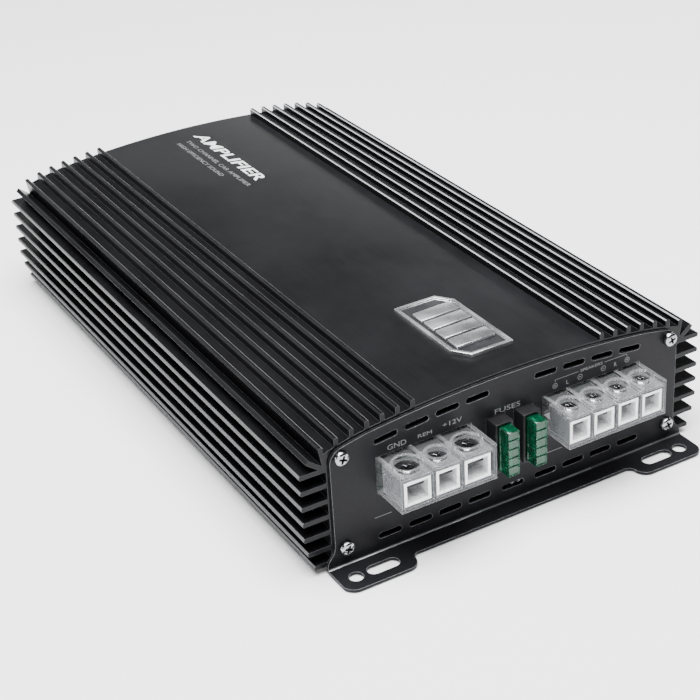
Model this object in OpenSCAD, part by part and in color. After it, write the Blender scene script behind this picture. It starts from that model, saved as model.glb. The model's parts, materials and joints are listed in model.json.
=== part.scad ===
// Two-channel car amplifier: finned extrusion, end panels, clamp terminals, fuses and electronics.
// X runs across the panels, Y along the extrusion (front panel at -Y), Z up from the mounting surface.

/* [Heat sink] */
// Length of the extrusion
body_len = 292; // [220:1:360]
// Half width of the extrusion's side walls, outside
wall_half = 79.3; // [79:0.1:80]
// Height of the arched roof at its middle
roof_z = 58.9; // [58:0.1:62]
// Thickness of the roof and side walls
wall_t = 3.4; // [3:0.1:3.6]
// Thickness of every cooling fin
fin_t = 1.9; // [1.4:0.1:2.2]
// Height of the top fins above the roof
fin_h = 3.1; // [2:0.1:5]
// Sideways reach of the side fins beyond the wall
fin_reach = 10.9; // [6:0.1:14]
// Number of top fins on each side
top_fins = 7; // [3:1:7]
// Number of side fins on each side
side_fins = 7; // [3:1:7]

/* [End panels] */
// Sheet thickness of the end panels
panel_t = 1.2; // [1:0.1:1.6]
// Depth of the mounting ears beyond the panel
ear_depth = 15.6; // [13:0.1:20]
// Depth of the foot flange between the ears
flange_depth = 8.2; // [5:0.1:10]
// Length of a vent slot
vent_len = 10.2; // [6:0.1:11]
// Width of a vent slot
vent_w = 2.5; // [2:0.1:3]

/* [Mounting holes] */
// Diameter of the round holes and width of the slots
mount_d = 5.6; // [4.5:0.1:6]
// Overall length of the mounting slots
slot_len = 13.4; // [9:0.1:14]
// Distance between the two round holes of a panel
hole_span = 150; // [148:0.5:152]
// Distance between the two slots of a panel
slot_span = 127; // [125:0.5:128]

/* [Terminals] */
// How far the clamp terminals stand out of the panel
block_reach = 16.8; // [14:0.1:20]
// Underside of the clamp terminals
block_z = 27.2; // [26:0.1:29]
// Height of the clamp terminals
block_h = 15; // [14.5:0.1:16]
// Height of a speaker clamp cage
small_cage_h = 9.6; // [9.2:0.1:10]
// Height of a power clamp cage
big_cage_h = 10; // [9.5:0.1:10.2]

/* [Controls] */
// Diameter of a control knob
knob_d = 11; // [9:0.5:12]
// Length of a control knob
knob_len = 9; // [6:0.5:12]

/* [Hidden] */
$fn = 48;

// Heat sink section
end_y = body_len / 2;
panel_y = end_y + panel_t;
arch_r = 500;
shoulder_x = 60;
shoulder_r = 125;
corner_x = 80.4;
gap_floor_z = 45.2;
body_z = 1.8;
cavity_half = wall_half - wall_t;
fin_pitch = 6.42;
first_fin_x = 42.4;
side_pitch = 6.75;
side_top_z = 44.1;
taper_z = 14;
taper = 0.32;
diag_tip = [86.5, 49.5];
diag_root = [79.4, 43.9];
ledge_z = 17.6;
ledge_t = 2;
ledge_w = 5;
block_w = 9;
block_top = 12.7;
port_x = 74;
port_low = 9.1;
port_high = 48.1;
port_boss = 3.6;
thread_r = 1.5;
tap_r = 1.55;
clear_r = 1.75;
inlay_half = first_fin_x - fin_t / 2 - 0.1;
inlay_t = 1;
inlay_gap = 0.05;

// Screws
head_r = 2.95;
head_h = 2.6;
cross_w = 0.9;
cross_l = 3.4;
cross_deep = 1.5;
sink_r = 2.9;
plate_t = 1;
plate_z = body_z - plate_t;
plate_half = 78;
plate_screw_y = [-120, -40, 40, 120];
standoff_y = [-75, 75];
standoff_x = 8;

// End panel outline
panel_half = 78.3;
panel_drop = 1.1;
panel_corner = 7;
ear_half = 82;
ear_in = 51;
ear_round = 5;
ear_fillet = 3;
flare_z = 9;
bend_r = 1;
hole_y = 8.4;
vent_x = [15.3, 28.5, 41.7, 55];
vent_drop = 5.2;
vent_low_z = 7.9;
window_gap = 0.3;

// Clamp terminals
block_front = panel_y + block_reach;
block_back = end_y - 9;
block_top_z = block_z + block_h;
rim_h = 1.3;
deck_z = block_top_z - rim_h;
power_wall = 1.6;
power_edge = [-59.3, -45, -32.8, -18.5];
power_x = [-51.75, -38.9, -26.05];
power_w = [11.3, 10, 11.3];
speaker_wall = 1.4;
speaker_x0 = 14.3;
speaker_pitch = 11.35;
speaker_w = 9.3;
cage_wall = 1.2;
cage_len = 13;
cage_y = -(block_front - 1.2 - cage_len / 2);
cage_z = block_z + 1.4;
pad_t = 1;
pad_len = 9;
pad_gap = 0.3;
tip_r = 1.5;
tip_gap = 0.05;
power_screw_r = 3;
speaker_screw_r = 2.5;
open_top_z = block_top_z - 0.4;
power_drop = 1.8;
speaker_drop = 1.5;
well_y = -(panel_y + 8.6);
power_well = [5, 4, 5];
speaker_well = 3.9;
rim_t = 1;
end_thin = 0.45;

// Fuses
fuse_x = [-7.5, 5];
fuse_z = 30.9;
fuse_w = 5.1;
fuse_h = 19.1;
fuse_len = 12;
fuse_front = panel_y + 12;
holder_w = 8;
holder_h = 21.3;
holder_front = panel_y + 6;
holder_back = end_y - 9;
socket_w = fuse_w + 0.6;
socket_h = fuse_h + 0.7;
socket_floor = fuse_front - fuse_len - 0.3;
clip_back = holder_back + 2;
clip_half = 3.1;
clip_w = 4;
blade_t = 0.65;
blade_w = 5.2;
blade_len = 7;
blade_off = 4.65;
shell_t = 1;

// Circuit board and parts on it
board_t = 1.6;
board_half = 75.4;
board_end = end_y - 1;
board_z = ledge_z + board_t;
board_screw_y = [-128, -12, 128];
board_screw_x = 73.1;
led_x = [0.6, 3.6];
led_r = 1;
core_at = [-22, 12];
choke_at = [[-38, -84], [-6, -84]];
cap_at = [[22, -70], [44, -70], [22, -46], [44, -46], [38, 50], [38, 74]];
cap_r = 9;
cap_h = 30;
chip_at = [[-40, 96], [-20, 96], [0, 96], [12, 20]];
fet_y = [-88, -72, -56, 56, 72, 88];
fet_gap_y = [-80, -64, 64, 80];
fet_w = 10;
fet_t = 4.4;
fet_z = 24;
fet_h = 15.5;
leg_r = 0.45;
leg_pitch = 2.5;
pad_thick = 0.3;
bar_t = 3;
bar_len = 44;

// Rear connectors and controls
control_z = 34;
rca_x = [36, 54];
rca_shell_r = 4.15;
rca_root_r = 3.9;
rca_bore_r = 3.4;
rca_out = panel_y + 10;
collar_r = 6;
pot_x = [12, -10, -32];
pot_w = 10;
pot_len = 8;
shaft_r = 3;
shaft_gap = 0.05;
switch_x = -56;
nub_w = 3;
nub_h = 2.4;
switch_travel = 3;

// Arched roof height at a distance from the middle
function sag(x) = x * x / (2 * arch_r) + pow(max(0, abs(x) - shoulder_x), 2) / (2 * shoulder_r);
function roof_at(x) = roof_z - sag(x);

// Points of an arched line, left to right
function arch_points(half, top) =
    [for (i = [-16 : 16]) let (x = half * i / 16) [x, top - sag(x)]];

// Sharp outline closed by an arch on top
module arch_outline(half, top, low) {
    polygon(concat([[half, low], [-half, low]], arch_points(half, top)));
}

// Extrudes a section drawn in X and Z along Y, centred
module along_y(len) {
    rotate([90, 0, 0]) linear_extrude(len, center = true) children();
}

// Cylinder along Y between two Y positions
module y_rod(r, from, to) {
    translate([0, from, 0]) rotate([-90, 0, 0]) cylinder(r = r, h = to - from);
}

// Both sides of the middle plane
module both_sides() {
    children();
    mirror([1, 0, 0]) children();
}

// Pan head screw standing on the XY plane with its shank going down
module pan_screw(len) {
    difference() {
        rotate_extrude() polygon([
            [0, -len], [thread_r, -len], [thread_r, 0], [head_r, 0], [head_r, head_h * 0.55],
            [head_r * 0.9, head_h * 0.8], [head_r * 0.62, head_h * 0.96], [0, head_h]]);
        for (a = [0, 90])
            rotate([0, 0, a + 20])
                translate([-cross_l / 2, -cross_w / 2, head_h - cross_deep])
                    cube([cross_l, cross_w, cross_deep + 1]);
    }
}

// Outline of the extrusion without its fins, X and Z
module body_section() {
    polygon(concat([[corner_x, gap_floor_z + 1], [wall_half, gap_floor_z], [wall_half, body_z],
        [-wall_half, body_z], [-wall_half, gap_floor_z], [-corner_x, gap_floor_z + 1]],
        arch_points(corner_x, roof_z)));
}

// Recess for the inlay plate, X and Z
module recess_section() {
    half = inlay_half + 0.1;
    polygon(concat([for (i = [16 : -1 : -16]) let (x = half * i / 16) [x, roof_at(x) - inlay_t]],
        [[-half, roof_z + 1], [half, roof_z + 1]]));
}

// Hollow of the extrusion with room left for its rails and screw ports
module cavity_section() {
    difference() {
        arch_outline(cavity_half, roof_z - wall_t - inlay_t, body_z - 1);
        both_sides() {
            translate([wall_half - block_w, body_z - 2]) square([block_w, block_top - body_z + 2]);
            translate([cavity_half - ledge_w, ledge_z - ledge_t]) square([ledge_w + 1, ledge_t]);
            translate([port_x, port_high]) circle(port_boss);
            translate([port_x, port_high - port_boss]) square(2 * port_boss);
        }
    }
}

module top_fin(x, extra) {
    half = fin_t / 2;
    foot = roof_at(x) - 1.5 - extra;
    tip = roof_at(x) + fin_h;
    polygon([[x - half, foot], [x + half - extra * 0.3, foot], [x + half, tip - 0.5], [x + half - 0.4, tip],
        [x - half + 0.4, tip], [x - half, tip - 0.4]]);
}

module side_fin(z) {
    half = fin_t / 2;
    tip = wall_half + fin_reach - max(0, taper_z - z) * taper;
    polygon([[wall_half - 1, z - half], [tip - 0.4, z - half], [tip, z - half + 0.4],
        [tip, z + half - 0.4], [tip - 0.4, z + half], [wall_half - 1, z + half]]);
}

module diagonal_fin() {
    run = diag_tip - diag_root;
    lean = atan2(run[1], run[0]);
    translate(diag_root) rotate(lean) translate([-1, -fin_t / 2]) square([norm(run) + 1, fin_t]);
}

module heatsink() {
    color([0.06, 0.06, 0.065]) difference() {
        union() {
            along_y(body_len) body_section();
            both_sides() {
                for (i = [0 : top_fins - 1])
                    along_y(body_len) top_fin(first_fin_x + i * fin_pitch, i == top_fins - 1 ? 5 : 0);
                for (i = [0 : side_fins - 1])
                    along_y(body_len) side_fin(side_top_z - i * side_pitch);
                along_y(body_len) diagonal_fin();
            }
        }
        along_y(body_len + 2) cavity_section();
        along_y(body_len + 2) recess_section();
        both_sides() {
            for (z = [port_low, port_high])
                translate([port_x, 0, z]) y_rod(tap_r, -end_y - 1, end_y + 1);
            for (y = plate_screw_y)
                translate([port_x, y, body_z - 1]) cylinder(r = tap_r, h = 5);
            for (y = board_screw_y)
                translate([board_screw_x, y, ledge_z - ledge_t - 1]) cylinder(r = tap_r, h = ledge_t + 2);
            for (y = fet_gap_y)
                translate([cavity_half - 1, y, fet_z + 8]) rotate([0, 90, 0]) cylinder(r = tap_r, h = 3.6);
        }
    }
}

module top_plate() {
    color([0.1, 0.1, 0.105]) along_y(body_len) difference() {
        arch_outline(inlay_half, roof_z, roof_z - 4);
        arch_outline(inlay_half + 1, roof_z - inlay_t + inlay_gap, roof_z - 6);
    }
}

// Raised trim plate with slanted bars, glued to the inlay near the front
module badge() {
    top = roof_z + 1.5;
    color([0.75, 0.76, 0.78]) translate([0, -(panel_y - 40), 0]) difference() {
        union() {
            translate([0, 0, roof_z - 1]) linear_extrude(top - roof_z + 1) badge_outline(0);
            for (y = [-14.5, -5, 4.5, 14])
                translate([0, y, top - 0.1])
                    linear_extrude(0.8) polygon([[-8, -2.2], [8, -4], [8, 1.2], [-8, 3]]);
        }
        along_y(60) arch_outline(inlay_half, roof_z, 0);
    }
}

module badge_outline(grow) {
    w = 12 + grow;
    l = 24 + grow;
    polygon([[-w, -l + 7], [-w + 5, -l], [w, -l], [w, l - 7], [w - 5, l], [-w, l]]);
}

module bottom_plate() {
    color([0.09, 0.09, 0.09]) difference() {
        translate([-plate_half, -end_y + 1.5, plate_z]) cube([2 * plate_half, body_len - 3, plate_t]);
        both_sides() for (y = plate_screw_y) translate([port_x, y, 0]) sink_hole();
        for (y = standoff_y) translate([standoff_x, y, 0]) sink_hole();
    }
}

module sink_hole() {
    translate([0, 0, plate_z]) cylinder(r1 = sink_r, r2 = thread_r + 0.15, h = plate_t);
    translate([0, 0, plate_z - 1]) cylinder(r = sink_r, h = 1.01);
    translate([0, 0, plate_z]) cylinder(r = thread_r + 0.15, h = plate_t + 1);
}

module sink_screw(len) {
    cone_r = sink_r - 0.1;
    difference() {
        union() {
            translate([0, 0, plate_z]) cylinder(r1 = cone_r, r2 = thread_r, h = plate_t);
            translate([0, 0, plate_z + plate_t - 0.01]) cylinder(r = thread_r, h = len - plate_t);
        }
        for (a = [0, 90])
            rotate([0, 0, a])
                translate([-cross_l / 2, -cross_w / 2, plate_z - 1]) cube([cross_l, cross_w, 1.6]);
    }
}

module bottom_plate_screws() {
    color([0.35, 0.35, 0.36]) {
        both_sides() for (y = plate_screw_y) translate([port_x, y, 0]) sink_screw(4.4);
        for (y = standoff_y) translate([standoff_x, y, 0]) sink_screw(6);
    }
}

// Vertical outline of an end panel, X and Z
module panel_outline() {
    top = roof_z - panel_drop;
    edge = top - sag(panel_half - panel_corner) - panel_corner + 0.6;
    polygon(concat(
        [[ear_half, 0], [ear_half, 2.5], [ear_half - 0.6, 4.6], [panel_half + 0.7, 7.4], [panel_half, flare_z + 1],
            [panel_half, edge]],
        [for (a = [8 : 8 : 56]) [panel_half - panel_corner * (1 - cos(a)), edge + panel_corner * sin(a) * 0.9]],
        [for (i = [14 : -1 : -14]) let (x = (panel_half - panel_corner * 0.65) * i / 14) [x, top - sag(x)]],
        [for (a = [56 : -8 : 8]) [-panel_half + panel_corner * (1 - cos(a)), edge + panel_corner * sin(a) * 0.9]],
        [[-panel_half, edge], [-panel_half, flare_z + 1], [-panel_half - 0.7, 7.4], [-ear_half + 0.6, 4.6],
            [-ear_half, 2.5], [-ear_half, 0]]));
}

// Plan outline of the foot flange with its two ears, X and distance out from the panel
module foot_outline() {
    difference() {
        union() {
            translate([-ear_half, -3]) square([2 * ear_half, flange_depth + 3]);
            both_sides() {
                translate([ear_in, -3]) square([ear_half - ear_in, ear_depth + 3 - ear_round]);
                translate([ear_in + ear_round, 0])
                    square([ear_half - ear_in - 2 * ear_round, ear_depth]);
                for (x = [ear_in + ear_round, ear_half - ear_round])
                    translate([x, ear_depth - ear_round]) circle(ear_round);
                translate([ear_in - ear_fillet, flange_depth - 0.01]) square(ear_fillet);
            }
        }
        both_sides() {
            translate([ear_in - ear_fillet, flange_depth + ear_fillet]) circle(ear_fillet);
            translate([hole_span / 2, hole_y]) circle(d = mount_d);
            slot(slot_span / 2, hole_y, slot_len, mount_d);
        }
    }
}

module slot(x, y, len, w) {
    for (s = [-1, 1]) translate([x + s * (len - w) / 2, y]) circle(d = w);
    translate([x - (len - w) / 2, y - w / 2]) square([len - w, w]);
}

// L section of a panel and its foot, distance out from the extrusion's end and Z
module bend_section() {
    outer = bend_r + panel_t;
    translate([0, outer]) square([panel_t, 70]);
    translate([outer, 0]) square([30, panel_t]);
    difference() {
        intersection() {
            translate([outer, outer]) circle(outer);
            square(outer);
        }
        translate([outer, outer]) circle(bend_r);
    }
}

// Bare end panel, outer face towards -Y
module bare_panel() {
    difference() {
        intersection() {
            translate([-100, -end_y, 0]) rotate([90, 0, 90]) linear_extrude(200) mirror([1, 0]) bend_section();
            union() {
                translate([0, -end_y, 0]) along_y(2 * (panel_t + bend_r)) panel_outline();
                translate([0, -panel_y, -1]) mirror([0, 1, 0]) linear_extrude(panel_t + bend_r + 0.8) foot_outline();
            }
        }
        both_sides() for (z = [port_low, port_high])
            translate([port_x, 0, z]) y_rod(clear_r, -panel_y - 1, -end_y + 1);
        along_panel() vents();
    }
}

module along_panel() {
    translate([0, -end_y - panel_t / 2, 0]) along_y(panel_t + 2) children();
}

module vents() {
    slot(0, vent_low_z, vent_len, vent_w);
    both_sides() for (x = vent_x) {
        slot(x, vent_low_z, vent_len, vent_w);
        translate([x, roof_z - panel_drop - sag(x) - vent_drop])
            rotate(-atan(x / arch_r)) slot(0, 0, vent_len, vent_w);
    }
}

module front_panel() {
    color([0.12, 0.12, 0.13]) difference() {
        bare_panel();
        along_panel() {
            translate([power_edge[0] - window_gap, block_z - window_gap])
                square([power_edge[3] - power_edge[0] + 2 * window_gap, block_h + 2 * window_gap]);
            translate([speaker_x0 - window_gap, block_z - window_gap])
                square([4 * speaker_pitch + 2 * window_gap, block_h + 2 * window_gap]);
            for (x = fuse_x)
                translate([x - holder_w / 2 - window_gap, fuse_z - holder_h / 2 - window_gap])
                    square([holder_w + 2 * window_gap, holder_h + 2 * window_gap]);
        }
    }
}

module rear_panel() {
    color([0.12, 0.12, 0.13]) rotate([0, 0, 180]) difference() {
        bare_panel();
        along_panel() {
            for (x = rca_x) translate([-x, control_z]) circle(collar_r + 0.2);
            for (x = pot_x) translate([-x, control_z]) circle(shaft_r + 1);
            slot(-switch_x, control_z, nub_w + 2 * switch_travel + 2, nub_h + 1);
        }
    }
}

module panel_screws() {
    both_sides() for (z = [port_low, port_high])
        translate([port_x, -panel_y, z]) rotate([90, 0, 0]) pan_screw(11);
}

module front_panel_screws() {
    color([0.8, 0.8, 0.82]) panel_screws();
}

module rear_panel_screws() {
    color([0.8, 0.8, 0.82]) rotate([0, 0, 180]) panel_screws();
}

// Clear housing for one row of poles: edges are the centres of its walls
module clear_block(edges, centres, wells, wall) {
    last = len(edges) - 1;
    left = edges[0];
    right = edges[last];
    difference() {
        union() {
            translate([left, -block_front, block_z]) cube([right - left, block_front - end_y + 1, deck_z - block_z]);
            translate([left, -end_y + 0.2, board_z]) cube([right - left, end_y - 0.2 - block_back, deck_z - board_z]);
            for (i = [0 : last])
                let (x = i == 0 ? left : i == last ? right - wall : edges[i] - wall / 2)
                    translate([x, -block_front, block_z]) cube([wall, block_front - block_back, block_h]);
            for (i = [0 : last - 1])
                translate([centres[i], well_y, block_z]) cylinder(r = wells[i] + rim_t, h = block_h);
        }
        for (i = [0 : last - 1]) {
            translate([centres[i], well_y, block_z + 4]) cylinder(r = wells[i], h = block_h);
            pole_space(edges[i], edges[i + 1], i == 0, i == last - 1, wall);
        }
    }
}

// Room for one cage between two walls, open to the front
module pole_space(a, b, first, final, wall) {
    low = first ? a + wall - end_thin : a + wall / 2;
    high = final ? b - wall + end_thin : b - wall / 2;
    translate([low, -block_front - 1, cage_z])
        cube([high - low, cage_len + 2.6, deck_z - cage_z - 1.1]);
    translate([(low + high) / 2 - 1.8, -block_front + cage_len, cage_z])
        cube([3.6, block_reach - cage_len + 5, 3]);
    translate([(low + high) / 2 - 1.8, -end_y + 1.5, board_z - 1])
        cube([3.6, 3.4, cage_z - board_z + 3.8]);
}

// Square metal clamp: a short tube with a threaded hole in its top and a tail down to the board
module cage(x, w, h, screw_r) {
    translate([x, cage_y, cage_z]) difference() {
        translate([-w / 2, -cage_len / 2, 0]) cube([w, cage_len, h]);
        translate([-w / 2 + cage_wall, -cage_len / 2 - 1, cage_wall])
            cube([w - 2 * cage_wall, cage_len + 2, h - 2 * cage_wall]);
        translate([0, well_y - cage_y, h / 2]) cylinder(r = screw_r + tip_gap, h = h);
    }
    tail_w = 3;
    tail_back = -end_y + 4.6;
    translate([x - tail_w / 2, cage_y + cage_len / 2 - 0.5, cage_z])
        cube([tail_w, tail_back - cage_y - cage_len / 2 + 0.5, cage_wall]);
    translate([x - tail_w / 2, tail_back - cage_wall, board_z])
        cube([tail_w, cage_wall, cage_z - board_z + 0.5]);
}

// Pressure pad hanging under a clamp screw, lowered from fully open
module pad(x, w, h, drop) {
    top = cage_z + h - cage_wall - pad_gap - drop;
    side = w - 2 * cage_wall - 2 * pad_gap;
    color([0.78, 0.76, 0.68]) translate([x, well_y, top - pad_t]) difference() {
        translate([-side / 2, -pad_len / 2, 0]) cube([side, pad_len, pad_t]);
        translate([0, 0, -1]) cylinder(r = tip_r + tip_gap, h = pad_t + 2);
    }
}

// Headless clamp screw with a turned tip that carries the pad
module clamp_screw(x, h, r, drop) {
    low = cage_z + h - cage_wall - drop;
    top = open_top_z - drop;
    color([0.82, 0.82, 0.84]) translate([x, well_y, 0]) difference() {
        union() {
            translate([0, 0, low]) cylinder(r = r, h = top - low - 0.4);
            translate([0, 0, top - 0.41]) cylinder(r1 = r, r2 = r - 0.4, h = 0.41);
            translate([0, 0, low - pad_gap - pad_t]) cylinder(r = tip_r, h = pad_t + pad_gap + 0.5);
        }
        for (a = [0, 90])
            rotate([0, 0, a + 25])
                translate([-r * 0.7, -0.5, top - 1.6]) cube([r * 1.4, 1, 2]);
    }
}

function speaker_x(i) = speaker_x0 + speaker_pitch * (i + 0.5);

module power_block() {
    color([0.85, 0.88, 0.9, 0.4]) clear_block(power_edge, power_x, power_well, power_wall);
}

module power_cages() {
    color([0.8, 0.8, 0.8]) for (i = [0 : 2]) cage(power_x[i], power_w[i], big_cage_h, power_screw_r);
}

module power_pad_1() { pad(power_x[0], power_w[0], big_cage_h, power_drop); }
module power_pad_2() { pad(power_x[1], power_w[1], big_cage_h, power_drop); }
module power_pad_3() { pad(power_x[2], power_w[2], big_cage_h, power_drop); }
module power_screw_1() { clamp_screw(power_x[0], big_cage_h, power_screw_r, power_drop); }
module power_screw_2() { clamp_screw(power_x[1], big_cage_h, power_screw_r, power_drop); }
module power_screw_3() { clamp_screw(power_x[2], big_cage_h, power_screw_r, power_drop); }

module speaker_block() {
    color([0.85, 0.88, 0.9, 0.4]) clear_block([for (i = [0 : 4]) speaker_x0 + i * speaker_pitch],
        [for (i = [0 : 3]) speaker_x(i)], [for (i = [0 : 3]) speaker_well], speaker_wall);
}

module speaker_cages() {
    color([0.8, 0.8, 0.8]) for (i = [0 : 3]) cage(speaker_x(i), speaker_w, small_cage_h, speaker_screw_r);
}

module speaker_pad_1() { pad(speaker_x(0), speaker_w, small_cage_h, speaker_drop); }
module speaker_pad_2() { pad(speaker_x(1), speaker_w, small_cage_h, speaker_drop); }
module speaker_pad_3() { pad(speaker_x(2), speaker_w, small_cage_h, speaker_drop); }
module speaker_pad_4() { pad(speaker_x(3), speaker_w, small_cage_h, speaker_drop); }
module speaker_screw_1() { clamp_screw(speaker_x(0), small_cage_h, speaker_screw_r, speaker_drop); }
module speaker_screw_2() { clamp_screw(speaker_x(1), small_cage_h, speaker_screw_r, speaker_drop); }
module speaker_screw_3() { clamp_screw(speaker_x(2), small_cage_h, speaker_screw_r, speaker_drop); }
module speaker_screw_4() { clamp_screw(speaker_x(3), small_cage_h, speaker_screw_r, speaker_drop); }

module fuse_holder(x) {
    color([0.05, 0.05, 0.05]) translate([x, 0, fuse_z]) difference() {
        union() {
            translate([-holder_w / 2, -holder_front, -holder_h / 2])
                cube([holder_w, holder_front - holder_back, holder_h]);
            translate([-holder_w / 2 + 0.6, -end_y + 0.2, board_z - fuse_z])
                cube([holder_w - 1.2, end_y - 0.2 - holder_back, 3]);
        }
        translate([-socket_w / 2, -holder_front - 1, -socket_h / 2])
            cube([socket_w, holder_front - socket_floor + 1, socket_h]);
        for (s = [-1, 1])
            translate([-clip_w / 2, -socket_floor - 0.1, s * blade_off - clip_half])
                cube([clip_w, socket_floor + 0.1 - clip_back, 2 * clip_half]);
    }
}

module left_fuse_holder() { fuse_holder(fuse_x[0]); }
module right_fuse_holder() { fuse_holder(fuse_x[1]); }

module fuse_clips() {
    front = -socket_floor + 0.3;
    len = -clip_back - front;
    color([0.78, 0.66, 0.4]) for (x = fuse_x) for (s = [-1, 1])
        translate([x, front, fuse_z + s * blade_off]) difference() {
            translate([-clip_w / 2, 0, -clip_half]) cube([clip_w, len, 2 * clip_half]);
            translate([-blade_t / 2 - 0.1, -1, -clip_half + 0.2]) cube([blade_t + 0.2, len + 0.4, 2 * clip_half - 0.4]);
        }
}

module fuse_body(x) {
    color([0.1, 0.6, 0.35, 0.6]) translate([x, 0, fuse_z]) difference() {
        union() {
            translate([-fuse_w / 2, -fuse_front, -fuse_h / 2]) cube([fuse_w, 6, fuse_h]);
            translate([-fuse_w / 2 + 0.3, -fuse_front + 5.9, -fuse_h / 2 + 0.5])
                cube([fuse_w - 0.6, fuse_len - 5.9, fuse_h - 1]);
        }
        translate([-fuse_w / 2 + shell_t, -fuse_front + shell_t, -fuse_h / 2 + 1.5])
            cube([fuse_w - 2 * shell_t, fuse_len, fuse_h - 3]);
        for (s = [-1, 1])
            translate([-0.8, -fuse_front - 1, s * blade_off - 1.6]) cube([1.6, 1.6, 3.2]);
    }
}

module fuse_blades(x) {
    color([0.8, 0.8, 0.8]) translate([x, 0, fuse_z]) {
        for (s = [-1, 1])
            translate([-blade_t / 2, -fuse_front + 3, s * blade_off - blade_w / 2])
                cube([blade_t, fuse_len - 3 + blade_len, blade_w]);
        translate([-blade_t / 2, -fuse_front + 4, -blade_off]) cube([blade_t, 2.2, 2 * blade_off]);
    }
}

module left_fuse() { fuse_body(fuse_x[0]); }
module left_fuse_blades() { fuse_blades(fuse_x[0]); }
module right_fuse() { fuse_body(fuse_x[1]); }
module right_fuse_blades() { fuse_blades(fuse_x[1]); }

module led_carrier() {
    mid = (led_x[0] + led_x[1]) / 2;
    color([0.04, 0.04, 0.04]) difference() {
        translate([mid - 4, -end_y + 1, vent_low_z - 2.4]) cube([8, 5, ledge_z - vent_low_z + 2.4]);
        for (x = led_x) translate([x, 0, vent_low_z]) y_rod(led_r + 0.05, -end_y, -end_y + 5);
    }
}

module status_leds() {
    color([0.95, 0.95, 0.9]) for (x = led_x) translate([x, -end_y + 0.6, vent_low_z]) {
        y_rod(led_r, 0, 4);
        sphere(led_r);
    }
}

module circuit_board() {
    color([0.05, 0.2, 0.1]) difference() {
        translate([-board_half, -board_end, ledge_z]) cube([2 * board_half, 2 * board_end, board_t]);
        both_sides() for (y = board_screw_y)
            translate([board_screw_x, y, ledge_z - 1]) cylinder(r = clear_r, h = board_t + 2);
        for (y = standoff_y)
            translate([standoff_x, y, ledge_z - 1]) cylinder(r = clear_r, h = board_t + 2);
    }
}

module board_screws() {
    color([0.6, 0.6, 0.62]) {
        both_sides() for (y = board_screw_y)
            translate([board_screw_x, y, board_z]) scale(0.9) pan_screw(3.6);
        for (y = standoff_y) translate([standoff_x, y, board_z]) pan_screw(6);
    }
}

module board_standoffs() {
    color([0.75, 0.6, 0.3]) for (y = standoff_y) translate([standoff_x, y, body_z]) difference() {
        cylinder(r = 3.4, h = ledge_z - body_z, $fn = 6);
        translate([0, 0, -1]) cylinder(r = tap_r, h = ledge_z);
    }
}

module transformer_core() {
    color([0.3, 0.3, 0.3]) translate([core_at[0], core_at[1], board_z + 3]) rotate_extrude()
        translate([13, 0]) square([9, 14]);
}

module transformer_winding() {
    color([0.7, 0.32, 0.12]) translate([core_at[0], core_at[1], board_z]) difference() {
        rotate_extrude() translate([10.5, 0]) square([14, 20]);
        rotate_extrude() translate([12.9, 2.9]) square([9.2, 14.2]);
    }
}

// Ring coils standing on edge
module chokes() {
    color([0.75, 0.4, 0.15]) for (p = choke_at)
        translate([p[0], p[1], board_z + 12]) rotate([0, 90, 0]) rotate_extrude()
            translate([8.5, 0]) circle(3.4);
}

module capacitors() {
    color([0.08, 0.09, 0.14]) for (p = cap_at)
        translate([p[0], p[1], board_z]) rotate_extrude() polygon([
            [0, 0], [cap_r - 0.5, 0], [cap_r, 0.5], [cap_r, 3], [cap_r - 0.6, 3.6], [cap_r, 4.2],
            [cap_r, cap_h - 0.6], [cap_r - 0.6, cap_h], [cap_r - 1.6, cap_h], [cap_r - 2, cap_h - 0.4],
            [0, cap_h - 0.4]]);
}

module driver_chips() {
    color([0.06, 0.06, 0.06]) for (p = chip_at) translate([p[0], p[1], board_z]) {
        translate([-5, -3.3, 0.6]) cube([10, 6.6, 3.2]);
        for (i = [-1.5 : 1 : 1.5]) for (s = [-1, 1])
            translate([i * 2.54 - 0.3, s * 3.6 - 0.4, 0]) cube([0.6, 0.8, 2]);
    }
}

module transistors() {
    back = cavity_half - pad_thick;
    color([0.1, 0.1, 0.1]) both_sides() for (y = fet_y) translate([0, y, 0]) {
        translate([back - fet_t, -fet_w / 2, fet_z]) cube([fet_t, fet_w, fet_h * 0.6]);
        translate([back - 1.3, -fet_w / 2, fet_z + 1]) cube([1.3, fet_w, fet_h - 1]);
        for (i = [-1 : 1])
            translate([back - 2.6, i * leg_pitch, board_z]) cylinder(r = leg_r, h = fet_z - board_z + 0.5);
    }
}

module thermal_pads() {
    color([0.75, 0.75, 0.7]) both_sides() for (y = [-72, 72]) difference() {
        translate([cavity_half - pad_thick, y - bar_len / 2, fet_z]) cube([pad_thick, bar_len, fet_h]);
        for (g = fet_gap_y)
            translate([cavity_half - 2, g, fet_z + 8]) rotate([0, 90, 0]) cylinder(r = clear_r, h = 3);
    }
}

module clamp_bars() {
    front = cavity_half - pad_thick - fet_t;
    color([0.6, 0.6, 0.6]) both_sides() for (y = [-72, 72]) difference() {
        translate([front - bar_t, y - bar_len / 2, fet_z + 2.8]) cube([bar_t, bar_len, 6.4]);
        for (g = fet_gap_y)
            translate([front - bar_t - 1, g, fet_z + 8]) rotate([0, 90, 0]) cylinder(r = clear_r, h = bar_t + 2);
    }
}

module clamp_bar_screws() {
    front = cavity_half - pad_thick - fet_t - bar_t;
    color([0.7, 0.7, 0.7]) both_sides() for (y = fet_gap_y)
        translate([front, y, fet_z + 8]) rotate([0, -90, 0]) pan_screw(9.6);
}

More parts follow.
